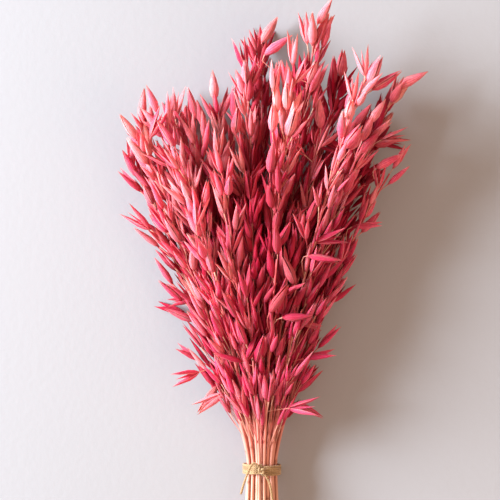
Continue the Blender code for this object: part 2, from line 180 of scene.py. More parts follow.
filler = {  # slimmer spikelets on longer, finer branches between the main ones
    "gap": 0.0036,  # between two along a stem
    "topGap": 0.013,  # none above this under a stem's end
    "lowest": 0.012,
    "reach": (0.010, 0.040),
    "angle": (math.radians(7), math.radians(24)),
    "length": (0.016, 0.027),
    "plump": (0.55, 1.0),
    "slimPlump": (0.28, 0.5),
    "slimShare": 0.4,
    "topPlump": (0.75, 1.2),  # of those near a stem's end
    "lowUnder": 0.11,  # fewer, slimmer and longer ones on longer branches under this s
    "lowPlump": (0.35, 0.8),
    "lowStretch": 1.15,
    "lowShare": 0.8,
    "openShare": 0.45,
    "reachShare": (0.5, 1.1),
    "bend": (-8, 8),
    "turns": 7,
    "ease": 0.62,  # they nestle closer than the main ones
    "dropOutside": 0.45,  # share taken out again where they lie outermost
    # the bunch's left and right edge: s and x
    "leftEdge": ((0.048, -0.033), (0.062, -0.038), (0.090, -0.052), (0.114, -0.065), (0.138, -0.072),
                 (0.162, -0.084), (0.186, -0.095), (0.214, -0.103), (0.234, -0.109), (0.320, -0.110)),
    "rightEdge": ((0.048, 0.031), (0.074, 0.033), (0.098, 0.044), (0.114, 0.048), (0.146, 0.064),
                  (0.162, 0.072), (0.202, 0.084), (0.218, 0.092), (0.250, 0.100), (0.270, 0.112),
                  (0.320, 0.120)),
}
husk = {
    "length": (0.0225, 0.0285),
    "bellyAt": 0.34,
    "halfWidth": 0.0033,
    "halfDepth": 0.0023,
    "neckSwell": 1.3,
    "openShare": 0.6,
    "endOpenShare": 0.35,
    "crownPlump": 1.25,
    "gape": (math.radians(9), math.radians(17)),
    "gapingLength": 1.1,  # a gaping one is at most this much longer
    "endLean": (0.3, 0.25),  # of the last spikelet, sideways and up or down
    "aimedLean": 0.4,  # share of that where its way is given
    "turnsTried": 26,
    "dropWithin": 0.007,
    "plumpOver": 0.075,  # closed spikelets this near a stem's end are fuller
    "topPlump": (1.05, 1.3),
    "rounder": 1.3,  # how much thicker the full ones are
    "outline": ((0.34, 1.0), (0.6, 0.8), (0.85, 0.4)),  # shares of the length and of the belly's width
    # where the balls that test for room sit: on the branch, up to the belly and on to a tip
    "steps": (np.linspace(0, 1, 17)[:, None], np.array([[0.25], [0.5], [0.75]]),
              np.linspace(0.02, 0.98, 11)[:, None]),
    # gape in degrees, plumpness, sideways bend and how much the glumes differ
    "kinds": (
        (0.8, 1.00, 0.015, 0.0), (1.0, 0.86, -0.020, 0.0), (2.2, 1.08, 0.010, 0.4),
        (9.0, 0.98, 0.012, 0.10), (11.0, 0.94, -0.012, 0.0), (13.0, 1.00, 0.010, -0.12),
        (15.0, 0.92, -0.015, 0.08), (17.0, 0.96, 0.012, 0.0),
    ),
    "closedKinds": 3,  # the first of them
    "shadeMix": (0.25, 0.75),  # how much of a husk's shade comes from its stalk, and how much is its own
    "sizeJitter": 0.02,
}
loose = {  # how the spikelets listed next hang on their stems
    "rootBack": 0.022,  # from the neck's s to the root's
    "rootStep": 0.0004,  # at each try
    "rise": 0.002,  # from the root's height to the neck's
    "topRise": 0.009,  # of those that lie across the upper side
    "riseStep": 0.0006,
    "tilt": 0.1,
    "upperSide": -0.2,  # they hang on stems above this v
    "stemBack": 0.020,  # where a stem's place is compared with theirs
    "endBack": 0.018,
    "sideReach": 0.024,
    "topReach": 0.014,
}
# Spikelets that stick out of the outline: the neck's x and s, and the way they point from +Y in degrees
outliers = (
    (0.028, 0.054, 118), (0.027, 0.062, 38), (-0.036, 0.068, -146), (-0.030, 0.062, -118), (-0.055, 0.120, -66),
    (-0.054, 0.138, -98), (0.002, 0.333, 55), (0.036, 0.341, -8), (0.086, 0.303, 58), (-0.089, 0.267, 27),
    (-0.089, 0.226, -44), (-0.090, 0.194, -52), (0.090, 0.262, 74), (0.083, 0.230, 46),
    (0.072, 0.196, 84), (0.036, 0.172, 97), (0.026, 0.122, 108),
)
# More of them, too fine for the solids, that close gaps near the edge
edgeFillers = (
    (-0.046, 0.266, -6), (-0.047, 0.278, -16), (-0.053, 0.283, -14), (-0.058, 0.272, -20), (-0.024, 0.258, -5),
    (-0.026, 0.246, 4), (-0.082, 0.168, -50), (-0.077, 0.158, -42), (-0.072, 0.150, -35), (-0.064, 0.136, -48),
    (-0.056, 0.102, -50), (-0.055, 0.094, -62), (-0.050, 0.088, -58), (-0.044, 0.080, -40), (0.072, 0.274, 38),
    (0.064, 0.262, 30), (-0.100, 0.236, -30), (-0.021, 0.283, -5), (-0.022, 0.270, 6), (0.010, 0.299, 3),
    (0.043, 0.325, 18), (0.048, 0.338, 15), (0.048, 0.291, -8), (0.057, 0.288, 5), (0.083, 0.308, 24),
    (0.096, 0.266, 78), (0.091, 0.243, 62), (-0.083, 0.180, -52), (-0.046, 0.256, 5), (0.066, 0.286, 20),
)
# and some that lie across the others on the upper side
topFillers = (
    (0.041, 0.184, 78), (0.036, 0.173, 98), (0.016, 0.124, 88), (0.026, 0.150, -24), (0.006, 0.128, 34),
    (0.058, 0.212, 30), (0.046, 0.130, 42), (-0.012, 0.090, 28), (-0.030, 0.206, -12), (-0.052, 0.196, 10),
    (0.006, 0.238, 5), (0.011, 0.254, -5), (0.008, 0.270, 4), (0.012, 0.286, -3), (0.009, 0.302, 3),
    (0.013, 0.222, -8),
)


def report(stage):
    print(f"{stage}, {time.time() - started:.0f} s")


def chances(draw, n):  # the same draws each run, of their own for each use
    return random.Random(seed * draws[draw] + n)


def readOff(pairs, at):
    return float(np.interp(at, *zip(*pairs)))


def curveShares(t):  # of a curve's start, the way it leaves, its end and the way it arrives
    return 2 * t**3 - 3 * t**2 + 1, t**3 - 2 * t**2 + t, 3 * t**2 - 2 * t**3, t**3 - t**2


# Where the stems run

def stalkSpot(k):
    r = math.sqrt((k + 0.5) / stems["count"])
    a = k * goldenAngle
    return r * math.cos(a), r * math.sin(a)


def fanPoint(u, v, s):
    past = max(abs(s) - stems["straight"], 0)
    if s < 0:
        wide = deep = fan["tail"] * past
    else:
        wide = (fan["wide"][0] + fan["wide"][1] * past) * past * (fan["left"] if u < 0 else fan["right"])
        deep = (fan["deep"][0] + fan["deep"][1] * past) * past
    t = min(max(s / fan["settleOver"], 0), 1)
    t = t * t * (3 - 2 * t)
    aboveEdge = v + math.sqrt(max(1 - u * u, 0))
    height = (1 + v) * (1 - t) + aboveEdge * t
    disc = twine["discRadius"]
    z = twine["outerRadius"] - disc + height * disc * (1 + deep) + fan["lift"] * t
    return Vector((u * disc * (1 + wide), s, z))


def crownHeight(x):
    edge = sorted((x, s + husk["length"][1]) for x, s, way, shut in crown["ends"] if s > crown["edgeAbove"])
    return readOff(edge, x)


class Stalk:
    def __init__(self, k):
        self.k = k
        self.u, self.v = stalkSpot(k)
        self.way = self.shut = None
        self.spikelets = []

    def aim(self, x, s, reach):
        self.reach = reach
        lean = x - fanPoint(self.u, self.v, s).x
        self.path = np.array([fanPoint(self.u, self.v, t) for t in stems["stations"]])
        self.path[:, 0] += lean * (np.clip(stems["stations"], 0, None) / s) ** 2

    def end(self):
        return self.reach - husk["length"][1] - panicle["topRoom"]

    def station(self, s):  # the last one before s, and how far s is on the way to the next
        at = stems["stations"]
        i = min(max(int(np.searchsorted(at, s)) - 1, 0), len(at) - 2)
        return i, (s - at[i]) / (at[i + 1] - at[i])

    def point(self, s):
        i, t = self.station(s)
        return Vector(self.path[i]).lerp(Vector(self.path[i + 1]), t)

    def smoothPoint(self, s):  # the same path as a curve through the stations
        at = stems["stations"]
        i, t = self.station(s)
        here, there = self.path[i], self.path[i + 1]
        slopes = []
        for j in (i, i + 1):
            low, high = max(j - 1, 0), min(j + 1, len(at) - 1)
            slope = (self.path[high] - self.path[low]) / (at[high] - at[low])
            slopes.append(slope * (at[i + 1] - at[i]))
        a, b, c, d = curveShares(t)
        return Vector(here * a + slopes[0] * b + there * c + slopes[1] * d)

    def along(self, s):
        return (self.point(s + 0.001) - self.point(s - 0.001)).normalized()

    def radius(self, s):
        t = min(max(s / self.end(), 0), 1)
        return stems["radius"] + (stems["topRadius"] - stems["radius"]) * t

    def whorls(self):
        length = min(panicle["length"], self.end() - panicle["neckStart"])
        count = int(length / panicle["whorlGap"])
        return [self.end() - length * (i + panicle["whorlAt"]) / count for i in range(count)]


def aimedStalks():
    stalks = [Stalk(k) for k in range(stems["count"])]
    waiting = list(stalks)
    for x, s, way, shut in crown["ends"]:
        nearest = min(waiting, key=lambda a: abs(fanPoint(a.u, a.v, s).x - x))
        nearest.aim(x, s, s + husk["length"][1])
        nearest.way, nearest.shut = way, shut
        waiting.remove(nearest)
    low, high = crown["shortShare"]
    for i, stalk in enumerate(waiting):
        share = low + (high - low) * (i * crown["shortStep"] % 1)
        s = share * crownHeight(fanPoint(stalk.u, stalk.v, crown["fanAt"]).x)
        wander = chances("wander", stalk.k).uniform(-crown["wander"], crown["wander"])
        stalk.aim(fanPoint(stalk.u, stalk.v, s).x + wander, s, s)
    pushApart(stalks)
    return stalks


def pushApart(stalks):
    at = stems["stations"]
    paths = np.array([a.path for a in stalks])
    ends = np.array([a.end() for a in stalks])
    radii = np.array([[a.radius(s) for s in at] for a in stalks])
    i, j = np.triu_indices(len(stalks), 1)
    for _ in range(stems["pushes"]):
        for n in range(len(at) - 1):
            both = (ends[i] > at[n]) & (ends[j] > at[n])
            a, b = i[both], j[both]
            start = (paths[a, n] - paths[b, n])[:, ::2]
            change = (paths[a, n + 1] - paths[b, n + 1])[:, ::2] - start
            t = -(start * change).sum(1) / np.maximum((change**2).sum(1), 1e-12)
            t = np.clip(t, 0, 1)[:, None]
            nearest = start + t * change
            apart = np.linalg.norm(nearest, axis=1)
            short = radii[a, n] + radii[b, n] + 2 * stems["clearance"] - apart
            push = nearest / apart[:, None] * np.maximum(short, 0)[:, None] / 2
            for m, share in ((n, 1 - t), (n + 1, t)):
                if abs(at[m]) > stems["straight"]:
                    np.add.at(paths, (a[:, None], m, [[0, 2]]), push * share)
                    np.add.at(paths, (b[:, None], m, [[0, 2]]), -push * share)
        paths[:, :, 2] = np.maximum(paths[:, :, 2], radii + stems["clearance"])
    for stalk, path in zip(stalks, paths):
        stalk.path = path


# Where the spikelets sit

class Spikelet:
    def __init__(self, root, neck, ahead, roll, length, gape, s=0.0, plump=1.0):
        self.root, self.neck, self.ahead = root, neck, ahead
        self.length, self.gape, self.s, self.plump = length, gape, s, plump
        self.main = True  # one of those that the solids have, which stays when the outermost are thinned
        side = ahead.cross(Vector((0, 0, 1))).normalized()
        self.across = side * math.cos(roll) + ahead.cross(side) * math.sin(roll)
        self.through = ahead.cross(self.across)

    def belly(self):
        return self.neck + self.ahead * self.length * husk["bellyAt"]

    def tips(self):
        far = self.neck + self.ahead * self.length
        if not self.gape:
            return [far]
        apart = self.across * self.length * math.tan(self.gape)
        return [far - apart, far + apart]

    def corners(self):
        m, a, t = self.belly(), self.across * husk["halfWidth"], self.through * husk["halfDepth"]
        return [m - a * self.plump, m - t * self.plump, m + a * self.plump, m + t * self.plump]

    def liftFromFloor(self):  # as it is drawn, which is a little fuller than its corners
        low = min(tip.z for tip in self.tips())
        for share, taper in husk["outline"]:
            at = self.neck + self.ahead * self.length * share
            taper *= max(self.plump, 1)
            wide = husk["halfWidth"] * taper + self.length * share * math.tan(self.gape)
            deep = husk["halfDepth"] * taper * husk["rounder"]
            low = min(low, at.z - math.hypot(self.across.z * wide, self.through.z * deep))
        self.neck = self.neck + Vector((0, 0, max(-low, 0)))

    def settle(self):  # lowers it onto the floor if it is near it
        low = min(p.z for p in self.corners() + self.tips())
        if 0 <= low < husk["dropWithin"]:
            self.neck = self.neck - Vector((0, 0, low))
        return low >= 0 and self.neck.z > panicle["branchRadius"] * husk["neckSwell"] + stems["clearance"]

    def balls(self):
        root, neck, belly = (np.array(p) for p in (self.root, self.neck, self.belly()))
        thin, rise, taper = husk["steps"]
        centres = [root + (neck - root) * thin, neck + (belly - neck) * rise]
        centres += [belly + (np.array(tip) - belly) * taper for tip in self.tips()]
        wide = husk["halfWidth"] * self.plump
        radii = [thin[:, 0] * 0 + panicle["branchRadius"], rise[:, 0] * wide]
        radii += [(1 - taper[:, 0]) * wide] * len(self.tips())
        radii = np.concatenate(radii)
        return np.concatenate(centres), radii, np.arange(len(radii)) >= len(thin)


class Room:  # the space taken so far, as balls
    def __init__(self, stalks):
        most = 200000  # balls
        self.count = 0
        self.centres = np.zeros((most, 3))
        self.radii = np.zeros(most)
        self.owners = np.zeros(most, int)
        self.branch = np.zeros(most, bool)
        for stalk in stalks:
            s = np.arange(-stems["tail"], stalk.end() + stems["clearance"], stems["ballStep"])
            centres = np.array([stalk.point(x) for x in s])
            radii = np.array([stalk.radius(x) for x in s])
            self.take(stalk.k, centres, radii, np.zeros(len(s), bool))

    def take(self, owner, centres, radii, branch):
        spot = slice(self.count, self.count + len(radii))
        self.centres[spot], self.radii[spot] = centres, radii
        self.owners[spot], self.branch[spot] = owner, branch
        self.count += len(radii)

    def fit(self, stalk, choices, ease=1.0):  # ease under 1 lets spikelets nestle closer
        margin = 2 * husk["halfWidth"] * husk["crownPlump"] + stems["clearance"]
        lastRoot = None
        for spikelet in choices:
            if not spikelet.settle():
                continue
            if spikelet.root != lastRoot:
                lastRoot = spikelet.root
                reach = (spikelet.neck - lastRoot).length + husk["gapingLength"] * spikelet.length
                reach += margin + husk["dropWithin"]
                away = np.abs(self.centres[: self.count] - np.array(lastRoot))
                inReach = np.flatnonzero((away < reach).all(1))
                spots = self.centres[inReach]
            centres, radii, glume = spikelet.balls()
            near = ((spots > centres.min(0) - margin) & (spots < centres.max(0) + margin)).all(1)
            away, index = spots[near] - centres[0], inReach[near]
            own = centres - centres[0]
            apart = (own**2).sum(1)[:, None] + (away**2).sum(1) - 2 * own @ away.T
            clash = apart <= ((radii[:, None] + self.radii[index]) * ease + stems["clearance"]) ** 2
            clash &= ~((self.owners[index] == stalk.k) & (~glume[:, None] | self.branch[index]))
            if not clash.any():
                self.take(stalk.k, centres, radii, ~glume)
                stalk.spikelets.append(spikelet)
                return True
        return False


def endChoices(stalk):
    rng = chances("spikelet", stalk.k * 1000 + 999)
    s = stalk.end() - panicle["topRoom"]
    root = stalk.point(s)
    neck = stalk.point(stalk.end() + panicle["topRoom"])
    shut = rng.random() > husk["endOpenShare"] if stalk.shut is None else stalk.shut
    gape = 0 if shut else rng.uniform(*husk["gape"])
    plump = husk["crownPlump"] if stalk.shut else 1.0
    length = rng.uniform(*husk["length"])
    sideways, upwards = husk["endLean"]
    for _ in range(husk["turnsTried"]):
        lean = Vector((rng.uniform(-sideways, sideways), 0, rng.uniform(-upwards, upwards)))
        ahead = stalk.along(stalk.end())
        if stalk.way is not None:
            way = math.radians(stalk.way)
            ahead = Vector((math.sin(way), math.cos(way), ahead.z))
            lean.x *= husk["aimedLean"]
        ahead = (ahead + lean).normalized()
        yield Spikelet(root, neck, ahead, rng.uniform(0, math.pi), length, gape, s, plump)


def branchChoices(stalk, s, whorl, branch):
    rng = chances("spikelet", stalk.k * 1000 + whorl * 10 + branch)
    down = min((stalk.end() - s) / panicle["length"], 1)
    shortest, longest = panicle["branchLength"]
    reach = (shortest + (longest - shortest) * down) * rng.uniform(*panicle["reachShare"])
    angles = "strayAngle" if rng.random() < panicle["strayShare"] else "branchAngle"
    angle = rng.uniform(*panicle[angles])
    bend = math.radians(rng.uniform(*panicle["bend"]))
    gape = rng.uniform(*husk["gape"]) if rng.random() < husk["openShare"] else 0
    length = rng.uniform(*husk["length"])
    roll = rng.uniform(0, math.pi)
    turned = branch + rng.uniform(-panicle["turnWander"], panicle["turnWander"])
    start = whorl * goldenAngle + turned * 2 * math.pi / panicle["branches"]
    rootAt = s - panicle["rootStep"] * branch
    root, up = stalk.point(rootAt), stalk.along(s)
    side = up.cross(Vector((0, 0, 1))).normalized()
    for i in range(husk["turnsTried"]):
        turn = start + (-1) ** i * ((i + 1) // 2) * 2 * math.pi / husk["turnsTried"]
        slim = 1 - panicle["slimming"] * i / husk["turnsTried"]
        out = side * math.cos(turn) + up.cross(side) * math.sin(turn)
        neck = root + (up * math.cos(angle * slim) + out * math.sin(angle * slim)) * reach
        tilt = (angle + bend) * slim
        ahead = up * math.cos(tilt) + out * math.sin(tilt)
        yield Spikelet(root, neck, ahead, roll, length, gape, rootAt)


def looseChoices(stalk, x, s, way, rise="rise"):
    rng = chances("spikelet", int(s * 10000))
    gape = rng.uniform(*husk["gape"]) if rng.random() < husk["openShare"] else 0
    length = rng.uniform(*husk["length"])
    way = math.radians(way)
    ahead = Vector((math.sin(way), math.cos(way), loose["tilt"])).normalized()
    for i in range(husk["turnsTried"]):
        rootAt = s - loose["rootBack"] + loose["rootStep"] * i
        root = stalk.point(rootAt)
        neck = Vector((x, s, min(root.z + loose[rise] + loose["riseStep"] * i, cadBox[1][2])))
        yield Spikelet(root, neck, ahead, rng.uniform(0, math.pi), length, gape, rootAt)


def fillerChoices(stalk, s, n):
    rng = chances("filler", stalk.k * 1000 + n)
    s += rng.uniform(-0.4, 0.4) * filler["gap"]
    down = min((stalk.end() - s) / panicle["length"], 1)
    shortest, longest = filler["reach"]
    reach = (shortest + (longest - shortest) * down) * rng.uniform(*filler["reachShare"])
    length = rng.uniform(*filler["length"])
    fullness = "topPlump" if stalk.end() - s < husk["plumpOver"] else "plump"
    plump = rng.uniform(*filler["slimPlump" if rng.random() < filler["slimShare"] else fullness])
    gape = rng.uniform(*husk["gape"]) if rng.random() < filler["openShare"] else 0
    if s < filler["lowUnder"]:
        if rng.random() > filler["lowShare"]:
            return
        plump = rng.uniform(*filler["lowPlump"])
        reach, length = reach * filler["lowStretch"], length * filler["lowStretch"]
    root, up = stalk.point(s), stalk.along(s)
    side = up.cross(Vector((0, 0, 1))).normalized()
    for i in range(filler["turns"]):
        turn = rng.uniform(0, 2 * math.pi)
        angle = rng.uniform(*filler["angle"])
        tilt = angle + math.radians(rng.uniform(*filler["bend"]))
        out = side * math.cos(turn) + up.cross(side) * math.sin(turn)
        neck = root + (up * math.cos(angle) + out * math.sin(angle)) * reach
        ahead = up * math.cos(tilt) + out * math.sin(tilt)
        made = Spikelet(root, neck, ahead, rng.uniform(0, math.pi), length, gape, s, plump)
        made.main = False
        if all(inside(tip) for tip in made.tips()):
            yield made


def inside(tip):  # the bunch's outline and height
    left, right = (readOff(filler[edge], tip.y) for edge in ("leftEdge", "rightEdge"))
    return left < tip.x < right and tip.z < cadBox[1][2]


def fillStalks(stalks):
    room = Room(stalks)
    for x, s, way in outliers:
        outer = [a for a in stalks if a.end() > s and a.v > loose["upperSide"]]
        nearest = min(outer, key=lambda a: abs(a.point(s).x - x))
        room.fit(nearest, looseChoices(nearest, x, s, way))
    for stalk in stalks:
        room.fit(stalk, endChoices(stalk))
    most = max(len(a.whorls()) for a in stalks)
    for whorl in range(most):
        for stalk in stalks:
            if whorl < len(stalk.whorls()):
                for branch in range(panicle["branches"]):
                    room.fit(stalk, branchChoices(stalk, stalk.whorls()[whorl], whorl, branch))
    main = sum(len(a.spikelets) for a in stalks)
    for x, s, way in edgeFillers:
        tall = [a for a in stalks if a.end() > s - loose["endBack"]]
        aside = {a: abs(a.point(s - loose["stemBack"]).x - x) for a in tall}
        nearest = min(tall, key=aside.get)
        if aside[nearest] < loose["sideReach"]:
            room.fit(nearest, looseChoices(nearest, x, s, way), filler["ease"])
    for x, s, way in topFillers:
        at = {a: a.point(s - loose["stemBack"]) for a in stalks if a.end() > s - loose["endBack"]}
        near = [a for a in at if abs(at[a].x - x) < loose["topReach"]]
        highest = max(near, key=lambda a: at[a].z)
        room.fit(highest, looseChoices(highest, x, s, way, "topRise"), filler["ease"])
    for stalk in stalks:
        top = stalk.end() - filler["topGap"]
        for n in range(int((top - filler["lowest"]) / filler["gap"])):
            room.fit(stalk, fillerChoices(stalk, top - n * filler["gap"], n), filler["ease"])
    fine = sum(len(a.spikelets) for a in stalks) - main
    report(f"{main} main spikelets and {fine} fine ones")


# Helpers for nodes and materials

def hexColour(code, alpha=1.0):  # sRGB hex to linear
    parts = [int(code[i : i + 2], 16) / 255 for i in (1, 3, 5)]
    linear = [c / 12.92 if c <= 0.04045 else ((c + 0.055) / 1.055) ** 2.4 for c in parts]
    return (*linear, alpha)


def addNode(tree, kind, inputs=None, **settings):  # a node given as an input stands for its first output
    made = tree.nodes.new(kind)
    for name, value in settings.items():
        setattr(made, name, value)
    for key, value in (inputs or {}).items():
        if isinstance(value, bpy.types.Node):
            value = next(out for out in value.outputs if out.enabled)
        if isinstance(value, bpy.types.NodeSocket):
            tree.links.new(value, made.inputs[key])
        else:
            made.inputs[key].default_value = value
    return made


def span(values):  # what a value runs from and to, and what that becomes if it isn't 0 to 1
    return dict(zip(("From Min", "From Max", "To Min", "To Max"), values))


def setRamp(node, stops):
    ramp = node.color_ramp
    while len(ramp.elements) < len(stops):
        ramp.elements.new(0.5)
    for element, (position, code) in zip(ramp.elements, stops):
        element.position, element.color = position, hexColour(code)
    return node.outputs["Color"]


def newMaterial(name, finish):
    made = bpy.data.materials.new(name)
    made.use_nodes = True
    for socket, value in finish.items():
        made.node_tree.nodes["Principled BSDF"].inputs[socket].default_value = value
    return made, made.node_tree


def linkFinish(tree, colour, height, strength, distance):  # colour is a socket
    bump = addNode(tree, "ShaderNodeBump", {"Strength": strength, "Distance": distance, "Height": height})
    shader = tree.nodes["Principled BSDF"]
    if colour:
        tree.links.new(colour, shader.inputs["Base Color"])
    tree.links.new(bump.outputs["Normal"], shader.inputs["Normal"])


# Dried oat husk, dyed in the bunch: thin papery glumes, matt with a faint silky sheen, fine ribs along them
huskLook = {
    "shades": ((0.0, "#ca1f50"), (0.25, "#de3a66"), (0.5, "#ed6684"), (0.75, "#f08b98"), (0.92, "#ec9e9f"),
               (1.0, "#e9b09b")),
    # rose: a painted tint for the cooler light on the bunch's right side
    "rose": "#e2477f",
    "roseSpan": (-0.06, 0.08, 0.0, 0.75),  # across the bunch
    "salmon": "#ee8a86",
    "salmonSpan": (0.38, 0.66, 0.0, 0.65),  # of the wide patches
    "crownSpan": (-0.02, 0.15),  # along the bunch, from rose to salmon
    "patchMm": 1000 / 28,  # 28 to a metre
    "mottleMm": 2.2,
    "mottle": (0.7, 1.3, 0.78, 1.2),
    "rib": "#b0173a",
    "ribs": 7,
    "ribSpan": (-0.2, 1.0),
    "ribFade": (1.0, 0.55),  # towards the tip
    "ribShare": 0.32,
    "ridge": "#f6ada7",
    "ridgeSpan": (-0.5, -1.0),
    "ridgeShare": 0.45,
    "margin": "#f1a6a1",
    "marginSpan": (0.34, 0.5, 0.0, 0.55),
    "tip": "#ec9f90",
    "tipSpan": (0.72, 1.0, 0.0, 0.6),
    # the base is darker partly for its stronger dye and partly as painted shade where it sits hidden
    "base": "#c8484a",
    "baseSpan": (0.16, 0.0, 0.0, 0.5),
    # painted shade: the deep crimson mixed in where a spikelet lies under others, among the middle stalks and in
    # the hollow, and its share
    "paintedShadeColour": "#99032b",
    "paintedShadeShare": 0.93,
    "grainMm": 0.625,
    "grainShare": 0.35,
    "relief": (0.5, 0.0001),
    "finish": {
        "Roughness": 0.58, "IOR": 1.45, "Specular IOR Level": 0.12,
        "Sheen Weight": 0.04, "Sheen Roughness": 0.4, "Sheen Tint": hexColour("#ffd9d4"),
        "Subsurface Weight": 0.35, "Subsurface Radius": (1.0, 0.25, 0.2), "Subsurface Scale": 0.004,
    },
}


def huskMaterial():
    look = huskLook
    made, tree = newMaterial("driedOatHusk", look["finish"])
    uv = addNode(tree, "ShaderNodeSeparateXYZ", {0: addNode(tree, "ShaderNodeUVMap", uv_map="ribs")}).outputs
    tint, deep = (addNode(tree, "ShaderNodeAttribute", attribute_name=name).outputs["Fac"]
                  for name in ("tint", "deep"))
    place = addNode(tree, "ShaderNodeTexCoord").outputs["Object"]
    colour = setRamp(addNode(tree, "ShaderNodeValToRGB", {0: tint}), look["shades"])

    # a rose tint painted low on the right side, for the cooler light that falls there; the dye leans to salmon in
    # patches near the top
    at = addNode(tree, "ShaderNodeSeparateXYZ", {0: place}).outputs
    wide = addNode(tree, "ShaderNodeTexNoise",
                   {"Vector": place, "Scale": 1000 / look["patchMm"], "Detail": 2.0})
    top = addNode(tree, "ShaderNodeMapRange", {"Value": at["Y"], **span(look["crownSpan"])})
    notTop = addNode(tree, "ShaderNodeMath", {0: 1.0, 1: top}, operation="SUBTRACT")
    rose = addNode(tree, "ShaderNodeMapRange", {"Value": at["X"], **span(look["roseSpan"])})
    rose = addNode(tree, "ShaderNodeMath", {0: rose, 1: notTop}, operation="MULTIPLY")
    salmon = addNode(tree, "ShaderNodeMapRange", {"Value": wide, **span(look["salmonSpan"])})
    salmon = addNode(tree, "ShaderNodeMath", {0: top, 1: salmon}, operation="MULTIPLY")
    for share, dye in ((rose, "rose"), (salmon, "salmon")):
        colour = addNode(tree, "ShaderNodeMix", {0: share, 6: colour, 7: hexColour(look[dye])},
                         data_type="RGBA")

    # it took unevenly, in patches a couple of millimetres wide
    mottle = addNode(tree, "ShaderNodeTexNoise",
                     {"Vector": place, "Scale": 1000 / look["mottleMm"], "Detail": 3.0})
    both = addNode(tree, "ShaderNodeMath", {0: mottle, 1: wide}, operation="ADD")
    bright = addNode(tree, "ShaderNodeMapRange", {"Value": both, **span(look["mottle"])})
    colour = addNode(tree, "ShaderNodeHueSaturation", {"Value": bright, "Color": colour})

    # ribs run from the base to the tip and fade out near it, with paler ridges between them
    wave = addNode(tree, "ShaderNodeMath", {0: uv["X"], 1: 2 * math.pi * look["ribs"]}, operation="MULTIPLY")
    wave = addNode(tree, "ShaderNodeMath", {0: wave}, operation="COSINE")
    rib = addNode(tree, "ShaderNodeMapRange", {"Value": wave, **span(look["ribSpan"])})
    fade = addNode(tree, "ShaderNodeMapRange", {"Value": uv["Y"], **span(look["ribFade"])})
    rib = addNode(tree, "ShaderNodeMath", {0: rib, 1: fade}, operation="MULTIPLY")
    ribShare = addNode(tree, "ShaderNodeMath", {0: rib, 1: look["ribShare"]}, operation="MULTIPLY")
    ridge = addNode(tree, "ShaderNodeMapRange", {"Value": wave, **span(look["ridgeSpan"])})
    ridge = addNode(tree, "ShaderNodeMath", {0: ridge, 1: mottle}, operation="MULTIPLY")
    ridge = addNode(tree, "ShaderNodeMath", {0: ridge, 1: look["ridgeShare"]}, operation="MULTIPLY")

    # glassy pale margins, a bleached tip and a base darkened partly by stronger dye and partly by painted shade;
    # painted shade turns spikelets deep crimson where they lie under others and in the bunch's darker middle
    side = addNode(tree, "ShaderNodeMath", {0: uv["X"], 1: 1.0}, operation="FRACT")
    side = addNode(tree, "ShaderNodeMath", {0: side, 1: 0.5}, operation="SUBTRACT")
    side = addNode(tree, "ShaderNodeMath", {0: side}, operation="ABSOLUTE")
    edge = addNode(tree, "ShaderNodeMapRange", {"Value": side, **span(look["marginSpan"])})
    tip = addNode(tree, "ShaderNodeMapRange", {"Value": uv["Y"], **span(look["tipSpan"])})
    base = addNode(tree, "ShaderNodeMapRange", {"Value": uv["Y"], **span(look["baseSpan"])})
    deep = addNode(tree, "ShaderNodeMath", {0: deep, 1: look["paintedShadeShare"]}, operation="MULTIPLY")
    for share, dye in ((ribShare, "rib"), (ridge, "ridge"), (edge, "margin"), (tip, "tip"), (base, "base"),
                       (deep, "paintedShadeColour")):
        colour = addNode(tree, "ShaderNodeMix", {0: share, 6: colour, 7: hexColour(look[dye])},
                         data_type="RGBA")

    grain = addNode(tree, "ShaderNodeTexNoise",
                    {"Vector": place, "Scale": 1000 / look["grainMm"], "Detail": 2.0})
    relief = addNode(tree, "ShaderNodeMath", {0: grain, 1: look["grainShare"], 2: rib},
                     operation="MULTIPLY_ADD")
    linkFinish(tree, colour.outputs[2], relief, *look["relief"])
    return made


# Oat straw: a smooth, slightly waxy culm with fine fibres along it, tan where the dye hardly reached
strawLook = {
    "shades": ((0.0, "#e2b795"), (0.22, "#e4a98d"), (0.34, "#e58d80"), (0.5, "#dc6468"), (1.0, "#cf4a58")),
    "shadeSpan": (-0.11, 0.33),  # along the stem
    "twigs": ((0.0, "#dd5f68"), (0.4, "#e8897c"), (1.0, "#f6cbab")),
    # painted shade: how much of the husks' deep crimson the twigs take deep in the bunch
    "paintedShadeShare": 0.5,
    "joint": "#9a5a44",
    "jointShare": 0.8,
    "fibreMm": 0.22,
    "patchMm": 1000 / 260,
    "tintShare": 0.5,
    "streaks": (0.85, 1.65, 0.72, 1.15),
    "relief": (0.4, 0.0002),
    "shrink": 0.03,  # of the fibres' pattern along the stem
    "finish": {"Roughness": 0.42, "IOR": 1.5},
}


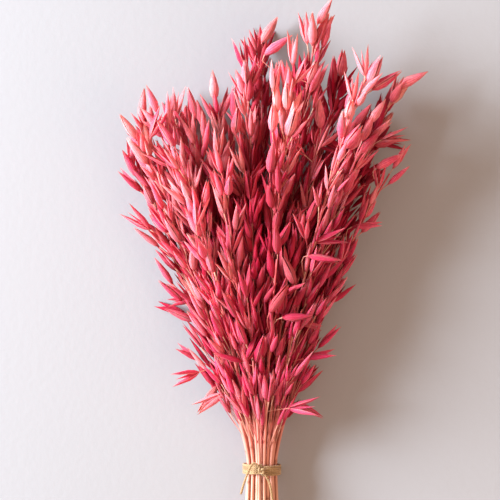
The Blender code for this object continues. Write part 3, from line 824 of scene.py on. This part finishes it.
def strawMaterial():
    look = strawLook
    made, tree = newMaterial("dyedOatStraw", look["finish"])
    along, joint, tint, twig, deep = (addNode(tree, "ShaderNodeAttribute", attribute_name=name).outputs["Fac"]
                                      for name in ("along", "joint", "tint", "twig", "deep"))
    grain = addNode(tree, "ShaderNodeAttribute", attribute_name="grain").outputs["Vector"]
    share = addNode(tree, "ShaderNodeMapRange", {"Value": along, **span(look["shadeSpan"])})
    colour = setRamp(addNode(tree, "ShaderNodeValToRGB", {0: share}), look["shades"])
    isTwig = addNode(tree, "ShaderNodeMath", {0: twig, 1: 0.0}, operation="GREATER_THAN")
    twigColour = setRamp(addNode(tree, "ShaderNodeValToRGB", {0: twig}), look["twigs"])
    colour = addNode(tree, "ShaderNodeMix", {0: isTwig, 6: colour, 7: twigColour}, data_type="RGBA")
    # painted shade: twigs deep in the bunch darken towards the husks' crimson
    deep = addNode(tree, "ShaderNodeMath", {0: deep, 1: look["paintedShadeShare"]}, operation="MULTIPLY")
    paintedShadeColour = hexColour(huskLook["paintedShadeColour"])
    colour = addNode(tree, "ShaderNodeMix", {0: deep, 6: colour, 7: paintedShadeColour}, data_type="RGBA")

    # fibres: noise in the stem's own section, stretched along it
    fibre = addNode(tree, "ShaderNodeTexNoise",
                    {"Vector": grain, "Scale": 1000 / look["fibreMm"], "Detail": 2.0})
    patch = addNode(tree, "ShaderNodeTexNoise",
                    {"Vector": grain, "Scale": 1000 / look["patchMm"], "Detail": 3.0})
    both = addNode(tree, "ShaderNodeMath", {0: fibre, 1: patch}, operation="ADD")
    both = addNode(tree, "ShaderNodeMath", {0: tint, 1: look["tintShare"], 2: both}, operation="MULTIPLY_ADD")
    bright = addNode(tree, "ShaderNodeMapRange", {"Value": both, **span(look["streaks"])})
    colour = addNode(tree, "ShaderNodeHueSaturation", {"Value": bright, "Color": colour})
    joint = addNode(tree, "ShaderNodeMath", {0: joint, 1: look["jointShare"]}, operation="MULTIPLY")
    colour = addNode(tree, "ShaderNodeMix", {0: joint, 6: colour, 7: hexColour(look["joint"])},
                     data_type="RGBA")
    linkFinish(tree, colour.outputs[2], fibre, *look["relief"])
    return made


# Jute: three spun plies of hairy tan fibre, quite matt
juteLook = {
    "shades": ((0.0, "#8a6a42"), (1.0, "#c9a877")),
    "shadeSpan": (0.7, 1.3),
    "fibreMm": 0.18,
    "patchMm": 1000 / 420,
    "relief": (0.8, 0.0003),
    "shrink": 0.12,
    "finish": {"Roughness": 0.88, "Sheen Weight": 0.3},
}


def juteMaterial():
    look = juteLook
    made, tree = newMaterial("juteTwine", look["finish"])
    grain = addNode(tree, "ShaderNodeAttribute", attribute_name="grain").outputs["Vector"]
    fibre = addNode(tree, "ShaderNodeTexNoise",
                    {"Vector": grain, "Scale": 1000 / look["fibreMm"], "Detail": 3.0})
    patch = addNode(tree, "ShaderNodeTexNoise",
                    {"Vector": grain, "Scale": 1000 / look["patchMm"], "Detail": 2.0})
    both = addNode(tree, "ShaderNodeMath", {0: fibre, 1: patch}, operation="ADD")
    share = addNode(tree, "ShaderNodeMapRange", {"Value": both, **span(look["shadeSpan"])})
    colour = setRamp(addNode(tree, "ShaderNodeValToRGB", {0: share}), look["shades"])
    linkFinish(tree, colour, fibre, *look["relief"])
    return made


# Matt painted floor, very slightly uneven
floorLook = {
    "unevenMm": 1000 / 180,
    "relief": (0.12, 0.001),
    "finish": {"Base Color": hexColour("#a9aeb1"), "Roughness": 0.85},
}


def floorMaterial():
    made, tree = newMaterial("mattFloorPaint", floorLook["finish"])
    place = addNode(tree, "ShaderNodeTexCoord").outputs["Object"]
    uneven = addNode(tree, "ShaderNodeTexNoise",
                     {"Vector": place, "Scale": 1000 / floorLook["unevenMm"], "Detail": 3.0})
    linkFinish(tree, None, uneven, *floorLook["relief"])
    return made


# One spikelet of each kind, as long as 1, up along Z: two boat-shaped glumes with a floret between them

glume = {
    "rows": ((0.0, 0.16), (0.14, 0.74), (0.36, 1.0), (0.68, 0.62)),  # height and fullness
    "corners": (-90, -58, -20, 20, 58, 90),  # round its back, in degrees
    "parting": 1.35,  # the power of the height by which the two lean apart
    "edgeShare": 0.93,  # how much of that their edges do
    "edgeGap": 0.003,
    "deeper": 1.1,
    "floret": (0.08, 0.36, 0.86),  # its foot, belly and tip
    "floretHalf": (0.045, 0.05),
    "floretBend": 0.7,
    "crease": 75,  # degrees
}


def huskKind(name, gapeDegrees, plump, bend, uneven):
    rows = glume["rows"]
    mean = sum(husk["length"]) / 2
    wide, deep = plump * husk["halfWidth"] / mean, plump * husk["halfDepth"] / mean
    shape = bmesh.new()
    ribs = shape.loops.layers.uv.new("ribs")

    def face(corners, uvs):
        made = shape.faces.new(corners)
        made.smooth = True
        for loop, uv in zip(made.loops, uvs):
            loop[ribs].uv = uv

    for side in (-1, 1):
        slope = math.tan(math.radians(gapeDegrees * (1 + side * uneven)))
        outer = []
        for t, full in rows:
            edge = glume["edgeShare"] * (slope * t ** glume["parting"]) + glume["edgeGap"]
            ring = []
            for a in np.radians(glume["corners"]):
                x = edge + wide * full * max(math.cos(a), 0)
                y = glume["deeper"] * deep * full * math.sin(a)
                ring.append(shape.verts.new((side * x + bend * t * t, y, t)))
            outer.append(ring)
        tip = shape.verts.new((side * slope + bend, 0, 1))
        for i in range(len(rows) - 1):
            low, high = rows[i][0], rows[i + 1][0]
            for j in range(5):
                face((outer[i][j], outer[i][j + 1], outer[i + 1][j + 1], outer[i + 1][j]),
                     ((j / 5, low), ((j + 1) / 5, low), ((j + 1) / 5, high), (j / 5, high)))
            face((outer[i][5], outer[i][0], outer[i + 1][0], outer[i + 1][5]),
                 ((2, low), (1, low), (1, high), (2, high)))
        top = rows[-1][0]
        for j in range(5):
            face((outer[-1][j], outer[-1][j + 1], tip), ((j / 5, top), ((j + 1) / 5, top), (0.5, 1)))
        face((outer[-1][5], outer[-1][0], tip), ((2, top), (1, top), (1.5, 1)))
        face(tuple(reversed(outer[0])), [(0.5, 0)] * 6)

    # the floret, a slim spindle
    foot, belly, top = glume["floret"]
    low, high = shape.verts.new((0, 0, foot)), shape.verts.new((bend * glume["floretBend"], 0, top))
    wide, deep = glume["floretHalf"]
    ring = [shape.verts.new((wide * math.cos(a), deep * math.sin(a), belly))
            for a in np.arange(4) * math.pi / 2]
    for i in range(4):
        j = (i + 1) % 4
        face((low, ring[i], ring[j]), ((0.5, 0.1), (0.25 * i, 0.4), (0.25 * i + 0.25, 0.4)))
        face((ring[i], high, ring[j]), ((0.25 * i, 0.4), (0.5, 0.9), (0.25 * i + 0.25, 0.4)))
    bmesh.ops.recalc_face_normals(shape, faces=shape.faces)
    mesh = bpy.data.meshes.new(name)
    shape.to_mesh(mesh)
    shape.free()
    mesh.set_sharp_from_angle(angle=math.radians(glume["crease"]))
    return bpy.data.objects.new(name, mesh)


def huskKinds():
    group = bpy.data.collections.new("huskKinds")
    bpy.context.scene.collection.children.link(group)
    for i, values in enumerate(husk["kinds"]):
        group.objects.link(huskKind(f"huskKind{i:02d}", *values))
    return group


# How deep each spikelet lies under the bunch's upper side, and how much painted shade its colour takes there,
# both 0 to 1
shelter = {
    "cell": 0.012,  # of the grid that the upper side is measured in
    "fullDepth": 0.016,
    # pairs of s and share of painted shade: among the middle stalks and in the dark hollow near x = 0, and the
    # painted light from the left that takes some of it off again in the crown
    "middle": ((0.03, 0.1), (0.08, 0.5), (0.14, 0.85), (0.20, 0.85), (0.275, 0.0)),
    "middleAt": 0.12,
    "middleWidth": 0.72,
    "hollow": ((0.05, 0.4), (0.09, 0.7), (0.13, 0.6), (0.165, 0.97), (0.232, 0.97), (0.262, 0.0)),
    "hollowWidth": 0.034,
    "litLeft": ((0.205, 0.0), (0.25, 0.5)),
    "litOver": 0.05,
}


def paintedShadeShares(stalks):
    def cellOf(at):
        return int(at.x // shelter["cell"]), int(at.y // shelter["cell"])

    tops = {}
    for stalk in stalks:
        for spikelet in stalk.spikelets:
            at = spikelet.belly()
            tops[cellOf(at)] = max(tops.get(cellOf(at), 0), at.z)
    for stalk in stalks:
        middle = max(1 - ((stalk.u - shelter["middleAt"]) / shelter["middleWidth"]) ** 2, 0)
        for spikelet in stalk.spikelets:
            at = spikelet.belly()
            i, j = cellOf(at)
            top = sum(tops.get((i + a, j + b), at.z) for a in (-1, 0, 1) for b in (-1, 0, 1)) / 9
            spikelet.depth = min(max((top - at.z) / shelter["fullDepth"], 0), 1)
            hollow = max(1 - (at.x / shelter["hollowWidth"]) ** 2, 0) * readOff(shelter["hollow"], at.y)
            lit = min(max(-at.x / shelter["litOver"], 0), 1) * readOff(shelter["litLeft"], at.y)
            sheltered = max(middle * readOff(shelter["middle"], at.y), hollow)
            # painted shade: darker under other spikelets, among the middle stalks and in the hollow; lighter
            # where the light from the left reaches the crown
            spikelet.deep = (1 - (1 - spikelet.depth) * (1 - sheltered)) * (1 - lit)


def thinOutside(stalks):  # and lifts what dips into the floor
    for stalk in stalks:
        rng = chances("thinning", stalk.k)
        stalk.spikelets = [a for a in stalk.spikelets
                           if a.main or rng.random() > filler["dropOutside"] * (1 - a.depth) ** 2]
        for spikelet in stalk.spikelets:
            spikelet.liftFromFloor()


def nearestKind(spikelet, rng):
    gapes = [math.radians(values[0]) for values in husk["kinds"]]
    if not spikelet.gape:
        return rng.randrange(husk["closedKinds"])
    return min(range(husk["closedKinds"], len(gapes)), key=lambda i: abs(gapes[i] - spikelet.gape))


def newTree(name, sockets):
    tree = bpy.data.node_groups.new(name, "GeometryNodeTree")
    for label, kind in {"Geometry": "Geometry", **sockets}.items():
        tree.interface.new_socket(label, in_out="INPUT", socket_type="NodeSocket" + kind)
    tree.interface.new_socket("Geometry", in_out="OUTPUT", socket_type="NodeSocketGeometry")
    return tree, tree.nodes.new("NodeGroupInput").outputs


# Stores where each point of a tube lies in its own section, with the way along it shrunk, for its fibres
def smoothGrain(tree, tubes, layers, shrink, aside):
    place = addNode(tree, "GeometryNodeInputPosition")
    offset = addNode(tree, "ShaderNodeVectorMath", {0: place, 1: layers["core"]}, operation="SUBTRACT")
    shrunk = addNode(tree, "ShaderNodeMath", {0: layers["along"], 1: shrink}, operation="MULTIPLY")
    shift = addNode(tree, "ShaderNodeCombineXYZ", {"X": aside, "Y": shrunk})
    grain = addNode(tree, "ShaderNodeVectorMath", {0: offset, 1: shift}, operation="ADD")
    kept = addNode(tree, "GeometryNodeStoreNamedAttribute",
                   {"Geometry": tubes, "Name": "grain", "Value": grain}, data_type="FLOAT_VECTOR", domain="POINT")
    return addNode(tree, "GeometryNodeSetShadeSmooth", {"Geometry": kept, "Shade Smooth": True})


# What the points of a stalk's lines carry
lineLayers = {
    "radius": "FLOAT", "joint": "FLOAT", "along": "FLOAT", "tint": "FLOAT", "twig": "FLOAT", "deep": "FLOAT",
    "isStem": "BOOLEAN", "isHusk": "BOOLEAN", "kind": "INT", "size": "FLOAT_VECTOR", "turn": "QUATERNION",
}


# The tree that turns a stalk's lines and points into straw tubes and husks

def stalkTree():
    tree, given = newTree("oatStalk", {
        "Husk Kinds": "Collection", "Stem Sides": "Int", "Branch Sides": "Int", "Hollow Share": "Float",
        "Hollow Depth": "Float", "Size Jitter": "Float", "Seed": "Int", "Straw": "Material", "Husk": "Material",
    })
    kinds = {**lineLayers, "core": "FLOAT_VECTOR"}
    layers = {name: addNode(tree, "GeometryNodeInputNamedAttribute", {"Name": name}, data_type=kinds[name])
              for name in ("radius", "along", "tint", "isStem", "isHusk", "kind", "size", "turn", "core")}

    def tubes(lines, sides):
        curve = addNode(tree, "GeometryNodeMeshToCurve", {0: lines})
        place = addNode(tree, "GeometryNodeInputPosition")
        core = addNode(tree, "GeometryNodeStoreNamedAttribute",
                       {"Geometry": curve, "Name": "core", "Value": place},
                       data_type="FLOAT_VECTOR", domain="POINT")
        ring = addNode(tree, "GeometryNodeCurvePrimitiveCircle", {"Resolution": sides, "Radius": 1.0})
        return addNode(tree, "GeometryNodeCurveToMesh",
                       {"Curve": core, "Profile Curve": ring, "Fill Caps": True, "Scale": layers["radius"]})

    points = addNode(tree, "GeometryNodeSeparateGeometry",
                     {0: given["Geometry"], "Selection": layers["isHusk"]})
    lines = addNode(tree, "GeometryNodeSeparateGeometry",
                    {0: points.outputs[1], "Selection": layers["isStem"]})
    stem = tubes(lines.outputs[0], given["Stem Sides"])
    twigs = tubes(lines.outputs[1], given["Branch Sides"])

    # the cut end of the straw is hollow: its cap is inset and pushed in
    corners = addNode(tree, "GeometryNodeInputMeshFaceNeighbors").outputs["Vertex Count"]
    isCap = addNode(tree, "FunctionNodeCompare", {"A": corners, "B": 4}, data_type="INT",
                    operation="GREATER_THAN")
    low = addNode(tree, "FunctionNodeCompare", {"A": layers["along"], "B": 0.0}, data_type="FLOAT",
                  operation="LESS_THAN")
    cut = addNode(tree, "FunctionNodeBooleanMath", {0: isCap, 1: low}, operation="AND")
    rim = addNode(tree, "GeometryNodeExtrudeMesh", {"Mesh": stem, "Selection": cut, "Offset Scale": 0.0,
                                                    "Individual": False}, mode="FACES")
    inset = addNode(tree, "GeometryNodeScaleElements", {"Geometry": rim, "Selection": rim.outputs["Top"],
                                                        "Scale": given["Hollow Share"]}, domain="FACE")
    inward = addNode(tree, "ShaderNodeMath", {0: given["Hollow Depth"], 1: -1.0}, operation="MULTIPLY")
    stem = addNode(tree, "GeometryNodeExtrudeMesh", {"Mesh": inset, "Selection": rim.outputs["Top"],
                                                     "Offset Scale": inward, "Individual": False}, mode="FACES")

    least = addNode(tree, "ShaderNodeMath", {0: 1.0, 1: given["Size Jitter"]}, operation="SUBTRACT")
    most = addNode(tree, "ShaderNodeMath", {0: 1.0, 1: given["Size Jitter"]}, operation="ADD")
    chance = addNode(tree, "FunctionNodeRandomValue", {2: least, 3: most, "Seed": given["Seed"]},
                     data_type="FLOAT")
    size = addNode(tree, "ShaderNodeVectorMath", {0: layers["size"], "Scale": chance}, operation="SCALE")
    shapes = addNode(tree, "GeometryNodeCollectionInfo", {"Collection": given["Husk Kinds"],
                                                          "Separate Children": True, "Reset Children": True})
    husks = addNode(tree, "GeometryNodeInstanceOnPoints",
                    {"Points": points, "Instance": shapes, "Pick Instance": True,
                     "Instance Index": layers["kind"], "Rotation": layers["turn"], "Scale": size})
    whole = addNode(tree, "GeometryNodeJoinGeometry")
    for part in (husks, twigs, stem):
        tree.links.new(part.outputs[0], whole.inputs[0])
    real = addNode(tree, "GeometryNodeRealizeInstances", {0: whole})
    smooth = smoothGrain(tree, real, layers, strawLook["shrink"], layers["tint"])
    straw = addNode(tree, "GeometryNodeSetMaterial", {"Geometry": smooth, "Material": given["Straw"]})
    last = addNode(tree, "GeometryNodeSetMaterial", {"Geometry": straw, "Selection": layers["isHusk"],
                                                     "Material": given["Husk"]})
    addNode(tree, "NodeGroupOutput", {0: last})
    return tree


def bakedObject(name, source, tree, values):  # runs the tree on the source and keeps the result as a mesh
    guide = newObject(name + "Lines", source)
    modifier = guide.modifiers.new("nodes", "NODES")
    modifier.node_group = tree
    for item in tree.interface.items_tree:
        if item.in_out == "INPUT" and item.name in values:
            modifier[item.identifier] = values[item.name]
    graph = bpy.context.evaluated_depsgraph_get()
    mesh = bpy.data.meshes.new_from_object(guide.evaluated_get(graph))
    bpy.data.objects.remove(guide)
    mesh.name = name
    return newObject(name, mesh)


def newObject(name, data):
    made = bpy.data.objects.new(name, data)
    bpy.context.scene.collection.objects.link(made)
    return made


def meshOfLines(name, lines):
    points, edges = [], []
    for line in lines:
        edges += [(len(points) + i, len(points) + i + 1) for i in range(len(line) - 1)]
        points += [place + tiePlace for place in line]
    mesh = bpy.data.meshes.new(name)
    mesh.from_pydata(points, edges, [])
    return mesh


def triangleCount(piece):
    return sum(len(face.vertices) - 2 for face in piece.data.polygons)


# A stalk's lines and points, with what the tree reads of each

def stemLine(stalk, rng):  # places, radii and joint marks from its cut end to its last spikelet
    bottom = -stems["tail"]
    places = list(np.arange(bottom, stalk.end() - stems["lastStep"], stems["step"])) + [stalk.end()]
    joints = []
    s = bottom + rng.uniform(*stems["firstJoint"])
    while s < stems["jointsUnder"]:
        joints.append(s)
        s += rng.uniform(*stems["jointGap"])
    for joint in joints:
        places = [p for p in places if abs(p - joint) > stems["jointClear"] or p < bottom + 1e-6]
        places += [joint + step for step in stems["jointPoints"]]
    rows = []
    for s in sorted(places):
        near = min((abs(s - joint) for joint in joints), default=1)
        mark = max(0, 1 - near / stems["jointHalf"])
        radius = stalk.radius(s) * (1 + (stems["jointSwell"] - 1) * mark)
        rows.append((stalk.smoothPoint(s), radius, mark, s))
    return rows


def branchLine(stalk, spikelet):  # leaves the stem and bends over to its spikelet's own direction
    start, end = stalk.smoothPoint(spikelet.s), spikelet.neck
    span = (end - start).length
    ahead, back = panicle["leave"]
    leave = ((end - start).normalized() * ahead - spikelet.ahead * back).normalized()
    last = panicle["branchPoints"]
    rows = []
    for i in range(last + 1):
        a, b, c, d = curveShares(i / last)
        point = start * a + leave * span * b + end * c + spikelet.ahead * span * d
        point.z = max(point.z, panicle["branchRadius"])
        swell = panicle["foot"] if i == 0 else panicle["head"] if i == last else 1
        rows.append((point, panicle["drawnRadius"] * swell, 0.0, spikelet.s))
    tail = spikelet.neck + spikelet.ahead * spikelet.length * panicle["cupDepth"]
    rows.append((tail, panicle["drawnRadius"] * panicle["cup"], 0.0, spikelet.s))
    return rows


def stalkLines(stalk):
    rng = chances("drawing", stalk.k)
    tint = rng.random()
    points, edges, rows = [], [], []

    def addLine(line, isStem, tint, twig, deep):
        for i, (place, radius, joint, s) in enumerate(line):
            if i:
                edges.append((len(points) - 1, len(points)))
            points.append(place + tiePlace)
            rows.append((radius, joint, s, tint, twig, deep, isStem, False, 0, Vector(), Quaternion()))

    addLine(stemLine(stalk, rng), True, tint, 0.0, 0.0)
    for spikelet in stalk.spikelets:
        addLine(branchLine(stalk, spikelet), False, tint, rng.random(), spikelet.deep)
    shared, own = husk["shadeMix"]
    for spikelet in stalk.spikelets:
        axes = Matrix((spikelet.across, spikelet.through, spikelet.ahead)).transposed()
        shade = shared * tint + own * rng.random()
        plump = spikelet.plump
        if spikelet.main and not spikelet.gape and plump == 1 and spikelet.s > stalk.end() - husk["plumpOver"]:
            plump = rng.uniform(*husk["topPlump"])
        wide = plump * sum(husk["length"]) / 2
        thick = wide * (husk["rounder"] if plump > 1 else 1)
        size = Vector((spikelet.length if spikelet.gape else wide, thick, spikelet.length))
        points.append(spikelet.neck + tiePlace)
        kind = nearestKind(spikelet, rng)
        rows.append((0, 0, spikelet.s, shade, 0.0, spikelet.deep, False, True, kind, size,
                     axes.to_quaternion()))
    mesh = bpy.data.meshes.new("stalkLines")
    mesh.from_pydata(points, edges, [])
    for (name, kind), values in zip(lineLayers.items(), zip(*rows)):
        layer = mesh.attributes.new(name, kind, "POINT")
        field = "vector" if kind == "FLOAT_VECTOR" else "value"
        layer.data.foreach_set(field, np.array(values).ravel())
    return mesh


# The twine: one line that winds round the stems, its knot and two ends, twisted from three plies

def twineLines():
    middle = Vector((0, 0, twine["outerRadius"]))
    lift = twine["innerRadius"] + twine["radius"]
    turns = []
    count = twine["turnPoints"] * twine["turns"]
    half = (twine["turns"] - 1) * twine["radius"]
    for i in range(count + 1):
        t = i / count
        a = 2 * math.pi * twine["turns"] * t
        y = -half + 2 * half * t + twine["wobble"] * math.sin(3 * a + 1)
        turns.append(middle + Vector((lift * math.sin(a), y, lift * math.cos(a))))
    knotAt = Vector((0, 0, 2 * twine["outerRadius"] + twine["knotRise"]))
    knot = []
    for i in range(twine["knotPoints"] + 1):
        t = 2 * math.pi * i / twine["knotPoints"]
        loop = Vector(((math.sin(t) + 2 * math.sin(2 * t)) / 3, (math.cos(t) - 2 * math.cos(2 * t)) / 3,
                       -math.sin(3 * t)))
        knot.append(knotAt + Vector([twine["knotTight"] * a * b for a, b in zip(loop, twine["knotSize"])]))
    lines = [turns, knot]
    for ends in twine["ends"]:
        spine = [knotAt + Vector(p) for p in ends]
        line = []
        for i in range(len(spine) - 1):
            before, after = spine[max(i - 1, 0)], spine[min(i + 2, len(spine) - 1)]
            a, b = spine[i], spine[i + 1]
            for step in range(twine["endPoints"]):
                t = step / twine["endPoints"]
                line.append(0.5 * ((2 * a) + (b - before) * t + (2 * before - 5 * a + 4 * b - after) * t * t
                                   + (3 * a - before - 3 * b + after) * t**3))
        lines.append(line + [spine[-1]])
    return meshOfLines("twineLines", lines)


def twineTree():
    tree, given = newTree("twistedTwine", {
        "Ply Radius": "Float", "Ply Offset": "Float", "Pitch": "Float", "Step": "Float", "Sides": "Int",
        "Jute": "Material",
    })
    curve = addNode(tree, "GeometryNodeMeshToCurve", {0: given["Geometry"]})
    fine = addNode(tree, "GeometryNodeResampleCurve", {"Curve": curve, "Length": given["Step"]}, mode="LENGTH")
    normal = addNode(tree, "GeometryNodeInputNormal")
    tangent = addNode(tree, "GeometryNodeInputTangent")
    length = addNode(tree, "GeometryNodeSplineParameter").outputs["Length"]
    other = addNode(tree, "ShaderNodeVectorMath", {0: tangent, 1: normal}, operation="CROSS_PRODUCT")
    turns = addNode(tree, "ShaderNodeMath", {0: length, 1: given["Pitch"]}, operation="DIVIDE")
    joined = addNode(tree, "GeometryNodeJoinGeometry")
    for ply in range(twine["plies"]):
        angle = addNode(tree, "ShaderNodeMath", {0: turns, 1: ply / twine["plies"]}, operation="ADD")
        angle = addNode(tree, "ShaderNodeMath", {0: angle, 1: 2 * math.pi}, operation="MULTIPLY")
        cosine = addNode(tree, "ShaderNodeMath", {0: angle}, operation="COSINE")
        sine = addNode(tree, "ShaderNodeMath", {0: angle}, operation="SINE")
        a = addNode(tree, "ShaderNodeVectorMath", {0: normal, "Scale": cosine}, operation="SCALE")
        b = addNode(tree, "ShaderNodeVectorMath", {0: other, "Scale": sine}, operation="SCALE")
        way = addNode(tree, "ShaderNodeVectorMath", {0: a, 1: b}, operation="ADD")
        way = addNode(tree, "ShaderNodeVectorMath", {0: way, "Scale": given["Ply Offset"]}, operation="SCALE")
        moved = addNode(tree, "GeometryNodeSetPosition", {0: fine, "Offset": way})
        tree.links.new(moved.outputs[0], joined.inputs[0])
    kinds = {"core": "FLOAT_VECTOR", "along": "FLOAT"}
    plies = joined
    for name, value in (("core", addNode(tree, "GeometryNodeInputPosition")), ("along", length)):
        plies = addNode(tree, "GeometryNodeStoreNamedAttribute",
                        {"Geometry": plies, "Name": name, "Value": value}, data_type=kinds[name], domain="POINT")
    ring = addNode(tree, "GeometryNodeCurvePrimitiveCircle", {"Resolution": given["Sides"],
                                                              "Radius": given["Ply Radius"]})
    tubes = addNode(tree, "GeometryNodeCurveToMesh", {"Curve": plies, "Profile Curve": ring, "Fill Caps": True})
    layers = {name: addNode(tree, "GeometryNodeInputNamedAttribute", {"Name": name}, data_type=kind)
              for name, kind in kinds.items()}
    smooth = smoothGrain(tree, tubes, layers, juteLook["shrink"], 0.0)
    real = addNode(tree, "GeometryNodeRealizeInstances", {0: smooth})
    last = addNode(tree, "GeometryNodeSetMaterial", {"Geometry": real, "Material": given["Jute"]})
    addNode(tree, "NodeGroupOutput", {0: last})
    return tree


# Building it all

stalks = aimedStalks()
fillStalks(stalks)
paintedShadeShares(stalks)
thinOutside(stalks)
huskFinish, strawFinish, juteFinish = huskMaterial(), strawMaterial(), juteMaterial()
kinds = huskKinds()
oatTree = stalkTree()
triangles = 0
for stalk in stalks:
    number = stalk.k + 1
    piece = bakedObject(f"oatStalk{number:02d}", stalkLines(stalk), oatTree, {
        "Husk Kinds": kinds, "Stem Sides": stems["sides"], "Branch Sides": panicle["branchSides"],
        "Hollow Share": stems["wallShare"], "Hollow Depth": stems["hollowDepth"],
        "Size Jitter": husk["sizeJitter"], "Seed": number, "Straw": strawFinish, "Husk": huskFinish,
    })
    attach(piece, "root")
    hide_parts(f"oat_stalk_{number:02d}")
    triangles += triangleCount(piece)
for obj in list(kinds.objects):
    bpy.data.objects.remove(obj)
bpy.data.collections.remove(kinds)
report(f"{len(stalks)} stalks, {triangles} triangles")

tie = bakedObject("twistedTwineTie", twineLines(), twineTree(), {
    "Ply Radius": twine["plyRadius"], "Ply Offset": twine["radius"] - twine["plyRadius"],
    "Pitch": twine["plyPitch"], "Step": twine["plyStep"], "Sides": twine["plySides"], "Jute": juteFinish,
})
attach(tie, "root")
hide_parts("twine_tie")
report(f"twine, {triangleCount(tie)} triangles")

# Floor, light and camera
studio = {
    "floorSize": 6.0,
    "keyPower": 225.0,
    "keySize": 1.35,
    "keyPlace": (-2.20, 0.46, 0.90),  # from the middle of the bundle
    "keyColour": "#f4f6ff",
    "fillPower": 13.5,
    "fillSize": 1.4,
    "fillPlace": (1.2, -0.6, 1.1),
    "fillColour": "#ffcaa8",
    "sky": "#ffe0cf",
    "skyStrength": 0.52,
    "cameraHeight": 2.0,
    "sensor": 36,
    "clipEnd": 20,
    "planeHeight": 0.045,  # of the bundle's middle
    "planeWidth": 0.400,  # what the picture spans there
    "pictureMiddle": (-0.0096, 0.1776),  # from the tie
}

shape = bmesh.new()
bmesh.ops.create_grid(shape, x_segments=1, y_segments=1, size=studio["floorSize"] / 2)
floorMesh = bpy.data.meshes.new("floor")
shape.to_mesh(floorMesh)
shape.free()
floorMesh.materials.append(floorMaterial())
floor = newObject("floor", floorMesh)

across, along = studio["pictureMiddle"]
middle = Vector((tiePlace.x + across, tiePlace.y + along, studio["planeHeight"]))
for name in ("key", "fill"):
    lamp = bpy.data.lights.new(name, "AREA")
    lamp.energy, lamp.size = studio[name + "Power"], studio[name + "Size"]
    lamp.color = hexColour(studio[name + "Colour"])[:3]
    place = Vector(studio[name + "Place"])
    hung = newObject(name, lamp)
    hung.location = middle + place
    hung.rotation_euler = (-place).to_track_quat("-Z", "Y").to_euler()

world = bpy.data.worlds.new("paleRoom")
world.use_nodes = True
background = world.node_tree.nodes["Background"]
background.inputs["Color"].default_value = hexColour(studio["sky"])
background.inputs["Strength"].default_value = studio["skyStrength"]
bpy.context.scene.world = world

bpy.context.scene.view_settings.view_transform = "Standard"  # keeps the dye's full red
bpy.context.scene.view_settings.look = "None"

lens = bpy.data.cameras.new("camera")
lens.sensor_width = studio["sensor"]
lens.lens = lens.sensor_width * studio["cameraHeight"] / studio["planeWidth"]
lens.clip_end = studio["clipEnd"]
camera = newObject("camera", lens)
camera.location = middle + Vector((0, 0, studio["cameraHeight"]))
bpy.context.scene.camera = camera

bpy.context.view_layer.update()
report("size written")
